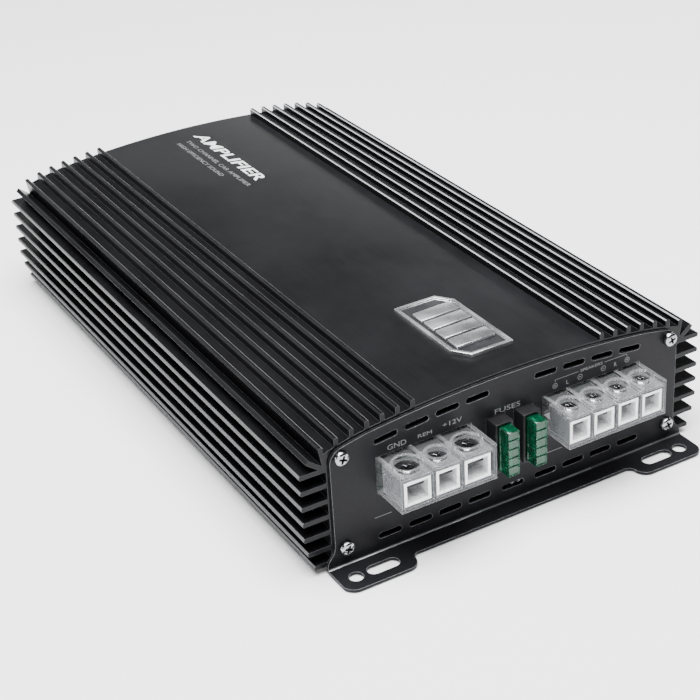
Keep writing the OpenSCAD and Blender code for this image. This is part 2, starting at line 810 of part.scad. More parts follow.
module rca_housing() {
    mid = (rca_x[0] + rca_x[1]) / 2;
    color([0.06, 0.06, 0.06]) difference() {
        union() {
            translate([mid - 17, end_y - 14, board_z]) cube([34, 13.8, 24]);
            for (x = rca_x) translate([x, 0, control_z]) y_rod(collar_r, end_y - 1, panel_y + 1);
        }
        for (x = rca_x) translate([x, 0, control_z]) y_rod(rca_root_r + 0.05, end_y - 8, panel_y + 2);
    }
}

module rca_shells() {
    color([0.85, 0.85, 0.86]) for (x = rca_x) translate([x, 0, control_z]) difference() {
        union() {
            y_rod(rca_root_r, end_y - 7.8, panel_y + 2);
            y_rod(rca_shell_r, panel_y + 1, rca_out);
        }
        y_rod(rca_bore_r, end_y - 9, rca_out + 1);
    }
}

// Insulator inside a jack shell, with the socket for the plug's pin
module rca_insert(x) {
    translate([x, 0, control_z]) difference() {
        y_rod(rca_bore_r - 0.05, end_y - 7.8, rca_out - 3);
        y_rod(1.6, end_y, rca_out);
    }
}

module rca_insert_left() {
    color([0.92, 0.92, 0.9]) rca_insert(rca_x[1]);
}

module rca_insert_right() {
    color([0.8, 0.08, 0.08]) rca_insert(rca_x[0]);
}

module potentiometers() {
    color([0.1, 0.12, 0.2]) for (x = pot_x) difference() {
        translate([x - pot_w / 2, end_y - pot_len - 0.3, board_z])
            cube([pot_w, pot_len, control_z - board_z + 5.5]);
        translate([x, 0, control_z]) y_rod(shaft_r + shaft_gap, end_y - pot_len + 1.2, end_y + 1);
    }
}

// Knob with a fluted skirt, a pointer groove and its shaft
module knob(x) {
    start = panel_y + 0.6;
    r = knob_d / 2;
    color([0.07, 0.07, 0.07]) translate([x, 0, control_z]) difference() {
        union() {
            y_rod(shaft_r, end_y - pot_len + 1.6, start + 1);
            y_rod(r, start, start + knob_len);
        }
        for (a = [0 : 30 : 330])
            rotate([0, a, 0]) translate([r + 0.2, 0, 0]) y_rod(0.8, start + 2, start + knob_len + 1);
        translate([-0.5, start + knob_len - 0.8, 0.8]) cube([1, 2, r]);
    }
}

module gain_knob() { knob(pot_x[0]); }
module crossover_knob() { knob(pot_x[1]); }
module bass_knob() { knob(pot_x[2]); }

module switch_body() {
    len = nub_w + 2 * switch_travel + 1;
    color([0.7, 0.7, 0.7]) translate([switch_x, 0, 0]) difference() {
        translate([-8, end_y - 7.3, board_z]) cube([16, 7, control_z - board_z + 4]);
        translate([-len / 2, end_y - 5.3, control_z - nub_h / 2 - 0.3]) cube([len, 6, nub_h + 0.6]);
    }
}

module switch_slider() {
    color([0.9, 0.9, 0.9]) translate([switch_x - nub_w / 2, end_y - 4.9, control_z - nub_h / 2])
        cube([nub_w, panel_t + 7.5, nub_h]);
}

heatsink();
top_plate();
badge();
bottom_plate();
bottom_plate_screws();
front_panel();
front_panel_screws();
rear_panel();
rear_panel_screws();
power_block();
power_cages();
power_pad_1();
power_pad_2();
power_pad_3();
power_screw_1();
power_screw_2();
power_screw_3();
speaker_block();
speaker_cages();
speaker_pad_1();
speaker_pad_2();
speaker_pad_3();
speaker_pad_4();
speaker_screw_1();
speaker_screw_2();
speaker_screw_3();
speaker_screw_4();
left_fuse_holder();
right_fuse_holder();
fuse_clips();
left_fuse();
left_fuse_blades();
right_fuse();
right_fuse_blades();
led_carrier();
status_leds();
circuit_board();
board_screws();
board_standoffs();
transformer_core();
transformer_winding();
chokes();
capacitors();
driver_chips();
transistors();
thermal_pads();
clamp_bars();
clamp_bar_screws();
rca_housing();
rca_shells();
rca_insert_left();
rca_insert_right();
potentiometers();
gain_knob();
crossover_knob();
bass_knob();
switch_body();
switch_slider();
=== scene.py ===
import bpy
import bmesh
import json
import math
from mathutils import Matrix, Vector


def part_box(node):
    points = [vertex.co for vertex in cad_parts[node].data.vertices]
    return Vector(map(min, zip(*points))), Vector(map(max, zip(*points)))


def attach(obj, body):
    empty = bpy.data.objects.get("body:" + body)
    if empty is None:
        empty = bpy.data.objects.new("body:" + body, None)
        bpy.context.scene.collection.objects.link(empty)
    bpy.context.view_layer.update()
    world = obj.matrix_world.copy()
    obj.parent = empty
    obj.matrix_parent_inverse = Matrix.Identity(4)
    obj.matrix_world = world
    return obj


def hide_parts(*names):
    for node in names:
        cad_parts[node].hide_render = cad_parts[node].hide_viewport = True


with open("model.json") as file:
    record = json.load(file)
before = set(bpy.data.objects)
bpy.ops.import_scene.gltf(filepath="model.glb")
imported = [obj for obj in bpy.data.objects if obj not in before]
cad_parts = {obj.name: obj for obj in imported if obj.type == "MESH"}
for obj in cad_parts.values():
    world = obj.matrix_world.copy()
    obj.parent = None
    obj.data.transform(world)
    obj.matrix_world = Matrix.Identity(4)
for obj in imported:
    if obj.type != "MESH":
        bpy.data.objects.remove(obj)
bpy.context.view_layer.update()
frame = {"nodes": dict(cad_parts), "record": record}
scene = bpy.context.scene
record = frame["record"]
mm = 0.001
root = "amplifier"
print("frame loaded:", len(frame["nodes"]), "nodes")


cameraSet = {
    "place": (-0.30513, -0.58866, 0.37292),  # metres
    "azimuth": -28.322,
    "elevation": 29.469,
    "roll": -3.6,
    "lens": 86.22,
    "sensor": 36,
}
lightSet = {
    "sky": (0.93, 0.96, 1.0),
    "skyStrength": 0.12,
    "floorTone": (0.96, 0.96, 0.965),
    "floorSize": 14,
    "floorDrop": 0.0004,
}
# name, place, aimed at, width, height, watts
lamps = [
    ("backSoftbox", (0.62, 1.35, 0.36), (0.0, 0.1, 0.05), 1.2, 0.24, 1.9),
    ("edgeSoftbox", (-0.78, 1.24, 0.66), (0.0, 0.0, 0.05), 0.9, 0.45, 2.4),
    ("leftSoftbox", (-1.3, 0.5, 0.2), (-0.05, 0.0, 0.03), 1.0, 0.25, 5),
    ("frontSoftbox", (-0.45, -1.15, 0.22), (0.0, -0.15, 0.03), 0.7, 0.25, 3.4),
    ("topSoftbox", (-0.1, -0.2, 1.5), (0.0, -0.1, 0.0), 1.4, 1.4, 110),
    ("rimStrip", (1.2, 0.4, 0.35), (0.05, 0.0, 0.03), 0.25, 1.1, 4),
]


def makeCamera():
    data = bpy.data.cameras.new("camera")
    camera = bpy.data.objects.new("camera", data)
    scene.collection.objects.link(camera)
    az = math.radians(cameraSet["azimuth"])
    el = math.radians(cameraSet["elevation"])
    back = Vector((math.sin(az) * math.cos(el), -math.cos(az) * math.cos(el), math.sin(el)))
    right = Vector((math.cos(az), math.sin(az), 0))
    up = back.cross(right)
    roll = math.radians(cameraSet["roll"])
    across = right * math.cos(roll) + up * math.sin(roll)
    upward = up * math.cos(roll) - right * math.sin(roll)
    turn = Matrix((across, upward, back)).transposed()
    camera.matrix_world = Matrix.Translation(cameraSet["place"]) @ turn.to_4x4()
    data.lens = cameraSet["lens"]
    data.sensor_width = cameraSet["sensor"]
    data.clip_start, data.clip_end = 0.01, 50
    data.dof.use_dof = False
    scene.camera = camera


def makeLamps():
    for name, place, aim, width, height, watts in lamps:
        data = bpy.data.lights.new(name, "AREA")
        data.shape = "RECTANGLE"
        data.size, data.size_y = width, height
        data.energy = watts
        lamp = bpy.data.objects.new(name, data)
        scene.collection.objects.link(lamp)
        lamp.location = place
        lamp.rotation_euler = (Vector(place) - Vector(aim)).to_track_quat("Z", "Y").to_euler()


def makeSurroundings():
    world = bpy.data.worlds.new("studio")
    world.use_nodes = True
    sky = world.node_tree.nodes["Background"]
    sky.inputs["Color"].default_value = (*lightSet["sky"], 1)
    sky.inputs["Strength"].default_value = lightSet["skyStrength"]
    scene.world = world
    bm = bmesh.new()
    bmesh.ops.create_grid(bm, x_segments=1, y_segments=1, size=lightSet["floorSize"])
    mesh = bpy.data.meshes.new("floor")
    bm.to_mesh(mesh)
    bm.free()
    floor = bpy.data.objects.new("floor", mesh)
    floor.location = (0, 0, -lightSet["floorDrop"])
    scene.collection.objects.link(floor)
    mat = bpy.data.materials.new("paleFloor")
    mat.use_nodes = True
    shader = mat.node_tree.nodes["Principled BSDF"]
    shader.inputs["Base Color"].default_value = (*lightSet["floorTone"], 1)
    shader.inputs["Roughness"].default_value = 0.75
    shader.inputs["Specular IOR Level"].default_value = 0.2
    mesh.materials.append(mat)


def newGroup(name, inputs, outputs):
    group = bpy.data.node_groups.new(name, "ShaderNodeTree")
    for label, kind, value in inputs:
        socket = group.interface.new_socket(label, in_out="INPUT", socket_type=kind)
        socket.default_value = value
    for label, kind in outputs:
        group.interface.new_socket(label, in_out="OUTPUT", socket_type=kind)
    return group, group.nodes.new("NodeGroupInput"), group.nodes.new("NodeGroupOutput")


def addNode(tree, kind, x=0, y=0, **values):
    node = tree.nodes.new(kind)
    node.location = (x, y)
    for key, value in values.items():
        setattr(node, key, value)
    return node


def makeEdgeWearAndHighlight():
    # painted highlights and rubbed wear on edges: where the rounded normal leaves the true one
    group, given, result = newGroup("edgeWear", [
        ("Radius", "NodeSocketFloat", 0.0004), ("Breakup", "NodeSocketFloat", 900.0),
        ("Evenness", "NodeSocketFloat", 0.5), ("Amount", "NodeSocketFloat", 1.0)],
        [("Mask", "NodeSocketFloat"), ("Normal", "NodeSocketVector")])
    link = group.links.new
    bevel = addNode(group, "ShaderNodeBevel", samples=8)
    geo = addNode(group, "ShaderNodeNewGeometry")
    dot = addNode(group, "ShaderNodeVectorMath", operation="DOT_PRODUCT")
    span = addNode(group, "ShaderNodeMapRange")
    span.inputs["From Min"].default_value = 0.995
    span.inputs["From Max"].default_value = 0.8
    coord = addNode(group, "ShaderNodeTexCoord")
    noise = addNode(group, "ShaderNodeTexNoise")
    noise.inputs["Detail"].default_value = 3
    lift = addNode(group, "ShaderNodeMapRange")
    lift.inputs["From Min"].default_value = 0.3
    lift.inputs["From Max"].default_value = 0.62
    mix = addNode(group, "ShaderNodeMath", operation="MULTIPLY")
    scale = addNode(group, "ShaderNodeMath", operation="MULTIPLY", use_clamp=True)
    link(given.outputs["Radius"], bevel.inputs["Radius"])
    link(bevel.outputs["Normal"], dot.inputs[0])
    link(geo.outputs["Normal"], dot.inputs[1])
    link(dot.outputs["Value"], span.inputs["Value"])
    link(coord.outputs["Object"], noise.inputs["Vector"])
    link(given.outputs["Breakup"], noise.inputs["Scale"])
    link(given.outputs["Evenness"], lift.inputs["To Min"])
    link(noise.outputs["Fac"], lift.inputs["Value"])
    link(span.outputs["Result"], mix.inputs[0])
    link(lift.outputs["Result"], mix.inputs[1])
    link(mix.outputs["Value"], scale.inputs[0])
    link(given.outputs["Amount"], scale.inputs[1])
    link(scale.outputs["Value"], result.inputs["Mask"])
    link(bevel.outputs["Normal"], result.inputs["Normal"])
    return group


def makeSurfaceGrain():
    # fine grain and broad cloudiness of a coated or moulded surface
    group, given, result = newGroup("surfaceGrain", [
        ("Stretch", "NodeSocketVector", (1, 1, 1)), ("Fine", "NodeSocketFloat", 2500.0),
        ("Broad", "NodeSocketFloat", 30.0)],
        [("Tone", "NodeSocketFloat"), ("Height", "NodeSocketFloat"), ("Cloud", "NodeSocketFloat")])
    link = group.links.new
    coord = addNode(group, "ShaderNodeTexCoord")
    stretch = addNode(group, "ShaderNodeVectorMath", operation="MULTIPLY")
    fine = addNode(group, "ShaderNodeTexNoise")
    fine.inputs["Detail"].default_value = 2
    fine.inputs["Roughness"].default_value = 0.6
    broad = addNode(group, "ShaderNodeTexNoise")
    broad.inputs["Detail"].default_value = 4
    half = addNode(group, "ShaderNodeMath", operation="MULTIPLY")
    half.inputs[1].default_value = 0.5
    rest = addNode(group, "ShaderNodeMath", operation="MULTIPLY_ADD")
    rest.inputs[1].default_value = 0.5
    link(coord.outputs["Object"], stretch.inputs[0])
    link(given.outputs["Stretch"], stretch.inputs[1])
    link(stretch.outputs["Vector"], fine.inputs["Vector"])
    link(coord.outputs["Object"], broad.inputs["Vector"])
    link(given.outputs["Fine"], fine.inputs["Scale"])
    link(given.outputs["Broad"], broad.inputs["Scale"])
    link(broad.outputs["Fac"], half.inputs[0])
    link(fine.outputs["Fac"], rest.inputs[0])
    link(half.outputs["Value"], rest.inputs[2])
    link(rest.outputs["Value"], result.inputs["Tone"])
    link(fine.outputs["Fac"], result.inputs["Height"])
    link(broad.outputs["Fac"], result.inputs["Cloud"])
    return group


def makeSettledDust():
    # a thin film of dust on faces that look up
    group, given, result = newGroup("settledDust", [
        ("Amount", "NodeSocketFloat", 0.2), ("Scale", "NodeSocketFloat", 120.0)],
        [("Mask", "NodeSocketFloat")])
    link = group.links.new
    geo = addNode(group, "ShaderNodeNewGeometry")
    split = addNode(group, "ShaderNodeSeparateXYZ")
    up = addNode(group, "ShaderNodeMapRange")
    up.inputs["From Min"].default_value = 0.5
    coord = addNode(group, "ShaderNodeTexCoord")
    noise = addNode(group, "ShaderNodeTexNoise")
    noise.inputs["Detail"].default_value = 6
    noise.inputs["Roughness"].default_value = 0.7
    patch = addNode(group, "ShaderNodeMapRange")
    patch.inputs["From Min"].default_value = 0.42
    patch.inputs["From Max"].default_value = 0.75
    both = addNode(group, "ShaderNodeMath", operation="MULTIPLY")
    scaled = addNode(group, "ShaderNodeMath", operation="MULTIPLY", use_clamp=True)
    link(geo.outputs["Normal"], split.inputs["Vector"])
    link(split.outputs["Z"], up.inputs["Value"])
    link(coord.outputs["Object"], noise.inputs["Vector"])
    link(given.outputs["Scale"], noise.inputs["Scale"])
    link(noise.outputs["Fac"], patch.inputs["Value"])
    link(up.outputs["Result"], both.inputs[0])
    link(patch.outputs["Result"], both.inputs[1])
    link(both.outputs["Value"], scaled.inputs[0])
    link(given.outputs["Amount"], scaled.inputs[1])
    link(scaled.outputs["Value"], result.inputs["Mask"])
    return group


edgeWear = makeEdgeWearAndHighlight()
surfaceGrain = makeSurfaceGrain()
settledDust = makeSettledDust()
print("shader groups ready")


# tone: darker and lighter colour of the grain; gloss: lowest and highest roughness; shine: specular level
# grain: stretch of the fine grain; fine, broad: its scales; bump in metres
# the edge entry: colour, amount, radius in mm of the edge mark, a painted highlight on the heat sink, plate,
# panel, badge, steel and tin finishes, rubbed wear on the rest
# even: how unbroken the edge mark is
finishes = {
    # the black heat sink's edge colour is a painted highlight along the fin edges
    "blackAnodised": dict(tone=((0.003, 0.003, 0.0035), (0.007, 0.007, 0.008)), metal=0.1, gloss=(0.24, 0.32),
        shine=0.18, even=0.9, grain=(1, 0.03, 1), fine=2600, broad=22, bump=0.000012,
        wear=((0.3, 0.31, 0.33), 0.25, 0.25), dust=0.004),
    # the next two finishes are painted highlights for the chamfers of the side fins and the top fins
    "finEdge": dict(tone=((0.12, 0.124, 0.131), (0.22, 0.224, 0.234)), metal=0.75, gloss=(0.2, 0.34),
        grain=(1, 0.02, 1), fine=2600, broad=40, bump=0.000006, even=0.9,
        wear=((0.7, 0.71, 0.73), 0.5, 0.12), dust=0.0),
    "tipEdge": dict(tone=((0.38, 0.388, 0.403), (0.52, 0.528, 0.543)), metal=0.35, gloss=(0.2, 0.34),
        grain=(1, 0.02, 1), fine=2600, broad=40, bump=0.000004, even=0.9,
        wear=((0.85, 0.86, 0.88), 0.4, 0.1), dust=0.0),
    "brushedBlack": dict(tone=((0.004, 0.004, 0.0045), (0.011, 0.0115, 0.013)), metal=0.12,
        gloss=(0.27, 0.35), shine=0.16, grain=(1, 0.012, 1), fine=4200, broad=14, bump=0.00001,
        wear=((0.3, 0.3, 0.31), 0.4, 0.25), dust=0.006),
    "badgeSilver": dict(tone=((0.6, 0.61, 0.63), (0.82, 0.83, 0.85)), metal=0.95, gloss=(0.2, 0.38),
        grain=(0.03, 1, 1), fine=5200, broad=60, bump=0.000014,
        wear=((0.9, 0.9, 0.92), 0.7, 0.25), dust=0.0),
    # the black panel's edge colour is a painted highlight along the panel edges and bend
    "panelBlack": dict(tone=((0.005, 0.005, 0.006), (0.011, 0.011, 0.013)), metal=0.0, gloss=(0.3, 0.4),
        grain=(1, 1, 1), fine=1700, broad=18, bump=0.00003,
        wear=((0.62, 0.64, 0.67), 0.9, 0.2), dust=0.004, shine=0.11),
    "zincSteel": dict(tone=((0.26, 0.27, 0.29), (0.4, 0.41, 0.43)), metal=1.0, gloss=(0.1, 0.2),
        grain=(1, 1, 1), fine=1800, broad=300, bump=0.000002,
        wear=((0.95, 0.95, 0.95), 0.5, 0.2), dust=0.0),
    "tinPlate": dict(tone=((0.46, 0.47, 0.48), (0.62, 0.62, 0.63)), metal=1.0, gloss=(0.12, 0.24),
        grain=(1, 0.1, 1), fine=1800, broad=220, bump=0.000004,
        wear=((0.96, 0.96, 0.95), 0.6, 0.2), dust=0.0),
    # painted light: a lit, near-white copy of the tin for the cages' inner and front faces
    "tinBright": dict(tone=((0.86, 0.87, 0.88), (0.95, 0.95, 0.96)), metal=0.25, gloss=(0.22, 0.36),
        grain=(1, 0.1, 1), fine=1800, broad=220, bump=0.000004,
        wear=((0.98, 0.98, 0.98), 0.4, 0.2), dust=0.0),
    "blackSteel": dict(tone=((0.02, 0.02, 0.022), (0.05, 0.05, 0.052)), metal=0.8, gloss=(0.3, 0.48),
        grain=(1, 1, 1), fine=2400, broad=200, bump=0.00001,
        wear=((0.4, 0.4, 0.4), 0.7, 0.2), dust=0.0),
    # painted shade: a near-black steel for the pressure pads, the well collars and the screw recesses
    "shadedSteel": dict(tone=((0.006, 0.006, 0.007), (0.016, 0.016, 0.018)), metal=0.4, gloss=(0.3, 0.45),
        grain=(1, 1, 1), fine=2400, broad=200, bump=0.000004,
        wear=((0.12, 0.12, 0.13), 0.4, 0.1), dust=0.0),
    # painted highlight: a lighter copy of the panel paint for the bend above the foot
    "bendSheen": dict(tone=((0.1, 0.102, 0.106), (0.15, 0.152, 0.157)), metal=0.5, gloss=(0.22, 0.34),
        grain=(1, 1, 1), fine=1700, broad=60, bump=0.00001,
        wear=((0.3, 0.3, 0.31), 0.3, 0.1), dust=0.0),
    "blackPlastic": dict(tone=((0.006, 0.006, 0.007), (0.012, 0.012, 0.013)), metal=0.0, gloss=(0.34, 0.46),
        shine=0.2, grain=(1, 1, 1), fine=2200, broad=90, bump=0.00002,
        wear=((0.09, 0.09, 0.09), 0.5, 0.25), dust=0.02),
    "knobBlack": dict(tone=((0.012, 0.012, 0.013), (0.026, 0.026, 0.028)), metal=0.0, gloss=(0.4, 0.58),
        grain=(1, 1, 1), fine=3200, broad=120, bump=0.00003,
        wear=((0.12, 0.12, 0.12), 0.6, 0.3), dust=0.03),
    "brassClip": dict(tone=((0.5, 0.36, 0.13), (0.72, 0.55, 0.25)), metal=1.0, gloss=(0.24, 0.42),
        grain=(1, 1, 0.1), fine=2600, broad=240, bump=0.00001,
        wear=((0.92, 0.78, 0.45), 0.6, 0.2), dust=0.0),
    "boardGreen": dict(tone=((0.006, 0.05, 0.02), (0.012, 0.085, 0.035)), metal=0.0, gloss=(0.2, 0.38),
        grain=(1, 1, 1), fine=900, broad=120, bump=0.00001,
        wear=((0.5, 0.42, 0.25), 0.4, 0.2), dust=0.06),
    "brass": dict(tone=((0.55, 0.4, 0.16), (0.75, 0.58, 0.28)), metal=1.0, gloss=(0.2, 0.36),
        grain=(1, 1, 1), fine=2200, broad=240, bump=0.00001,
        wear=((0.95, 0.8, 0.5), 0.5, 0.2), dust=0.0),
    "ferrite": dict(tone=((0.03, 0.03, 0.032), (0.07, 0.07, 0.072)), metal=0.1, gloss=(0.5, 0.7),
        grain=(1, 1, 1), fine=1800, broad=160, bump=0.00004,
        wear=((0.2, 0.2, 0.2), 0.5, 0.3), dust=0.05),
    "copperWire": dict(tone=((0.33, 0.11, 0.03), (0.56, 0.22, 0.07)), metal=0.9, gloss=(0.22, 0.36),
        grain=(1, 1, 1), fine=1600, broad=140, bump=0.00001,
        wear=((0.8, 0.4, 0.2), 0.3, 0.2), dust=0.0),
    "capSleeve": dict(tone=((0.012, 0.014, 0.022), (0.025, 0.028, 0.04)), metal=0.0, gloss=(0.18, 0.3),
        grain=(1, 1, 1), fine=1500, broad=120, bump=0.00001,
        wear=((0.2, 0.2, 0.22), 0.3, 0.2), dust=0.06),
    "chipBlack": dict(tone=((0.01, 0.01, 0.01), (0.025, 0.025, 0.026)), metal=0.0, gloss=(0.45, 0.65),
        grain=(1, 1, 1), fine=4000, broad=200, bump=0.00002,
        wear=((0.12, 0.12, 0.12), 0.4, 0.2), dust=0.04),
    "siliconeGrey": dict(tone=((0.3, 0.31, 0.33), (0.42, 0.43, 0.45)), metal=0.0, gloss=(0.55, 0.75),
        grain=(1, 1, 1), fine=1500, broad=90, bump=0.00002,
        wear=((0.5, 0.5, 0.5), 0.3, 0.2), dust=0.0),
    "whitePlastic": dict(tone=((0.72, 0.72, 0.7), (0.84, 0.84, 0.82)), metal=0.0, gloss=(0.24, 0.4),
        grain=(1, 1, 1), fine=2200, broad=120, bump=0.000015,
        wear=((0.92, 0.92, 0.9), 0.3, 0.25), dust=0.02),
    "redPlastic": dict(tone=((0.4, 0.01, 0.012), (0.56, 0.02, 0.02)), metal=0.0, gloss=(0.24, 0.4),
        grain=(1, 1, 1), fine=2200, broad=120, bump=0.000015,
        wear=((0.7, 0.1, 0.1), 0.3, 0.25), dust=0.02),
    "printWhite": dict(tone=((0.62, 0.63, 0.64), (0.78, 0.79, 0.8)), metal=0.0, gloss=(0.4, 0.55),
        grain=(1, 1, 1), fine=6000, broad=500, bump=0.000004,
        wear=((0.8, 0.8, 0.8), 0.1, 0.05), dust=0.0),
    "badgeDark": dict(tone=((0.012, 0.012, 0.014), (0.03, 0.03, 0.034)), metal=0.3, gloss=(0.35, 0.5),
        grain=(1, 1, 1), fine=3000, broad=100, bump=0.00002,
        wear=((0.2, 0.2, 0.2), 0.2, 0.2), dust=0.0),
    "printGrey": dict(tone=((0.13, 0.135, 0.14), (0.2, 0.205, 0.21)), metal=0.0, gloss=(0.45, 0.6),
        grain=(1, 1, 1), fine=6000, broad=500, bump=0.000004,
        wear=((0.3, 0.3, 0.3), 0.1, 0.05), dust=0.0),
}


def makeFinish(name, given):
    mat = bpy.data.materials.new(name)
    mat.use_nodes = True
    tree = mat.node_tree
    shader = tree.nodes["Principled BSDF"]
    grain = addNode(tree, "ShaderNodeGroup", -900, 200, node_tree=surfaceGrain)
    grain.inputs["Stretch"].default_value = given["grain"]
    grain.inputs["Fine"].default_value = given["fine"]
    grain.inputs["Broad"].default_value = given["broad"]
    ramp = addNode(tree, "ShaderNodeMapRange", -700, 200)
    ramp.inputs["From Min"].default_value = 0.35
    ramp.inputs["From Max"].default_value = 0.65
    tone = addNode(tree, "ShaderNodeMix", -500, 200, data_type="RGBA")
    tone.inputs[6].default_value = (*given["tone"][0], 1)
    tone.inputs[7].default_value = (*given["tone"][1], 1)
    wearAndHighlightColour, wearAndHighlightAmount, wearAndHighlightRadius = given["wear"]
    wear = addNode(tree, "ShaderNodeGroup", -900, -100, node_tree=edgeWear)
    wear.inputs["Radius"].default_value = wearAndHighlightRadius * mm
    wear.inputs["Amount"].default_value = wearAndHighlightAmount
    wear.inputs["Evenness"].default_value = given.get("even", 0.5)
    # the edge mark: a painted highlight on some finishes, rubbed wear on others
    wornAndHighlighted = addNode(tree, "ShaderNodeMix", -300, 200, data_type="RGBA")
    wornAndHighlighted.inputs[7].default_value = (*wearAndHighlightColour, 1)
    dust = addNode(tree, "ShaderNodeGroup", -500, 420, node_tree=settledDust)
    dust.inputs["Amount"].default_value = given["dust"]
    dusty = addNode(tree, "ShaderNodeMix", -150, 260, data_type="RGBA")
    dusty.inputs[7].default_value = (0.42, 0.41, 0.39, 1)
    gloss = addNode(tree, "ShaderNodeMapRange", -500, -50)
    gloss.inputs["From Min"].default_value = 0.35
    gloss.inputs["From Max"].default_value = 0.65
    gloss.inputs["To Min"].default_value = given["gloss"][0]
    gloss.inputs["To Max"].default_value = given["gloss"][1]
    bump = addNode(tree, "ShaderNodeBump", -300, -250)
    bump.inputs["Strength"].default_value = 0.6
    bump.inputs["Distance"].default_value = given["bump"]
    link = tree.links.new
    link(grain.outputs["Tone"], ramp.inputs["Value"])
    link(ramp.outputs["Result"], tone.inputs[0])
    link(tone.outputs[2], wornAndHighlighted.inputs[6])
    link(wear.outputs["Mask"], wornAndHighlighted.inputs[0])
    link(wornAndHighlighted.outputs[2], dusty.inputs[6])
    link(dust.outputs["Mask"], dusty.inputs[0])
    link(dusty.outputs[2], shader.inputs["Base Color"])
    link(grain.outputs["Cloud"], gloss.inputs["Value"])
    link(gloss.outputs["Result"], shader.inputs["Roughness"])
    link(grain.outputs["Height"], bump.inputs["Height"])
    link(wear.outputs["Normal"], bump.inputs["Normal"])
    link(bump.outputs["Normal"], shader.inputs["Normal"])
    shader.inputs["Metallic"].default_value = given["metal"]
    shader.inputs["Specular IOR Level"].default_value = given.get("shine", 0.5)
    return mat


# tint: colour of the faces; the second colour is a painted highlight on their edges; clear, milky: how solid
# each looks
# edge: width in mm of the frosted edge
glassSet = {
    "clearPlastic": dict(tint=(0.8, 0.83, 0.87), frost=(0.98, 0.99, 1.0), smooth=0.03, rough=0.16,
        clear=0.015, milky=0.52, through=0.2, scale=160, bump=0.000008, edge=0.42),
    "fuseGreen": dict(tint=(0.006, 0.2, 0.09), frost=(0.2, 0.62, 0.42), smooth=0.03, rough=0.14, clear=1.0,
        milky=1.0, through=0.86, scale=420, bump=0.00003, edge=0.25),
    "ledLens": dict(tint=(0.2, 0.21, 0.22), frost=(0.35, 0.35, 0.35), smooth=0.08, rough=0.2, clear=0.8,
        milky=0.95, through=0.6, scale=800, bump=0.00001, edge=0.1),
}


def makeGlass(name, given):
    mat = bpy.data.materials.new(name)
    mat.use_nodes = True
    tree = mat.node_tree
    shader = tree.nodes["Principled BSDF"]
    grain = addNode(tree, "ShaderNodeGroup", -900, 200, node_tree=surfaceGrain)
    grain.inputs["Fine"].default_value = given["scale"]
    grain.inputs["Broad"].default_value = given["scale"] * 0.3
    wear = addNode(tree, "ShaderNodeGroup", -900, -100, node_tree=edgeWear)
    wear.inputs["Radius"].default_value = given["edge"] * mm
    wear.inputs["Evenness"].default_value = 0.85
    tone = addNode(tree, "ShaderNodeMix", -500, 200, data_type="RGBA")
    tone.inputs[6].default_value = (*given["tint"], 1)
    tone.inputs[7].default_value = (*given["frost"], 1)
    gloss = addNode(tree, "ShaderNodeMapRange", -500, -50)
    gloss.inputs["To Min"].default_value = given["smooth"]
    gloss.inputs["To Max"].default_value = given["rough"]
    bump = addNode(tree, "ShaderNodeBump", -300, -250)
    bump.inputs["Strength"].default_value = 0.5
    bump.inputs["Distance"].default_value = given["bump"]
    link = tree.links.new
    # painted highlight: the edge mask mixes the edge colour into the edges
    link(wear.outputs["Mask"], tone.inputs[0])
    link(tone.outputs[2], shader.inputs["Base Color"])
    link(wear.outputs["Mask"], gloss.inputs["Value"])
    link(gloss.outputs["Result"], shader.inputs["Roughness"])
    link(grain.outputs["Height"], bump.inputs["Height"])
    link(wear.outputs["Normal"], bump.inputs["Normal"])
    link(bump.outputs["Normal"], shader.inputs["Normal"])
    rim = addNode(tree, "ShaderNodeLayerWeight", -900, -400)
    rim.inputs["Blend"].default_value = 0.12
    solid = addNode(tree, "ShaderNodeMath", -700, -400, operation="MAXIMUM")
    cover = addNode(tree, "ShaderNodeMapRange", -500, -400)
    cover.inputs["To Min"].default_value = given["clear"]
    cover.inputs["To Max"].default_value = given["milky"]
    link(rim.outputs["Facing"], solid.inputs[0])
    link(wear.outputs["Mask"], solid.inputs[1])
    link(solid.outputs["Value"], cover.inputs["Value"])
    link(cover.outputs["Result"], shader.inputs["Alpha"])
    shader.inputs["Transmission Weight"].default_value = given["through"]
    shader.inputs["IOR"].default_value = 1.49
    return mat


materials = {name: makeFinish(name, given) for name, given in finishes.items()}
materials.update({name: makeGlass(name, given) for name, given in glassSet.items()})
print("finishes ready:", len(materials))


slotOf = {}  # CAD node: its slot in the record


def finishOf(slotName):
    first, *rest = slotName.split("_")
    return first + "".join(part.title() for part in rest)


def dressNodes():
    # each CAD node takes the finish of its slot in the record
    for name, node in frame["nodes"].items():
        slots = [m.name.split(".")[0] for m in node.data.materials if m]
        slotOf[name] = slots[0]
        for index, slotName in enumerate(slots):
            node.data.materials[index] = materials[finishOf(slotName)]


makeCamera()
makeLamps()
makeSurroundings()
dressNodes()
print("camera, light and floor ready")


def bodyOf(node):
    for body, nodes in record["behaviour"]["bodies"].items():
        if node in nodes:
            return body
    return root


welds = {"cad": 0.000002, "spin": 0.0000005, "fine": 0.0000002, "cut": 0.0000001}  # metres
softSet = {"flat": 0.5, "level": 0.3, "smooth": 50, "broad": 1.2}  # degrees, and mm across a broad face


def finishPiece(bm, name, material, body=root, angle=32):
    bmesh.ops.remove_doubles(bm, verts=bm.verts, dist=welds["fine"])
    mesh = bpy.data.meshes.new(name)
    bm.to_mesh(mesh)
    bm.free()
    mesh.materials.append(materials[material])
    if angle:
        mesh.shade_smooth()
        mesh.set_sharp_from_angle(angle=math.radians(angle))
    piece = bpy.data.objects.new(name, mesh)
    scene.collection.objects.link(piece)
    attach(piece, body)
    return piece


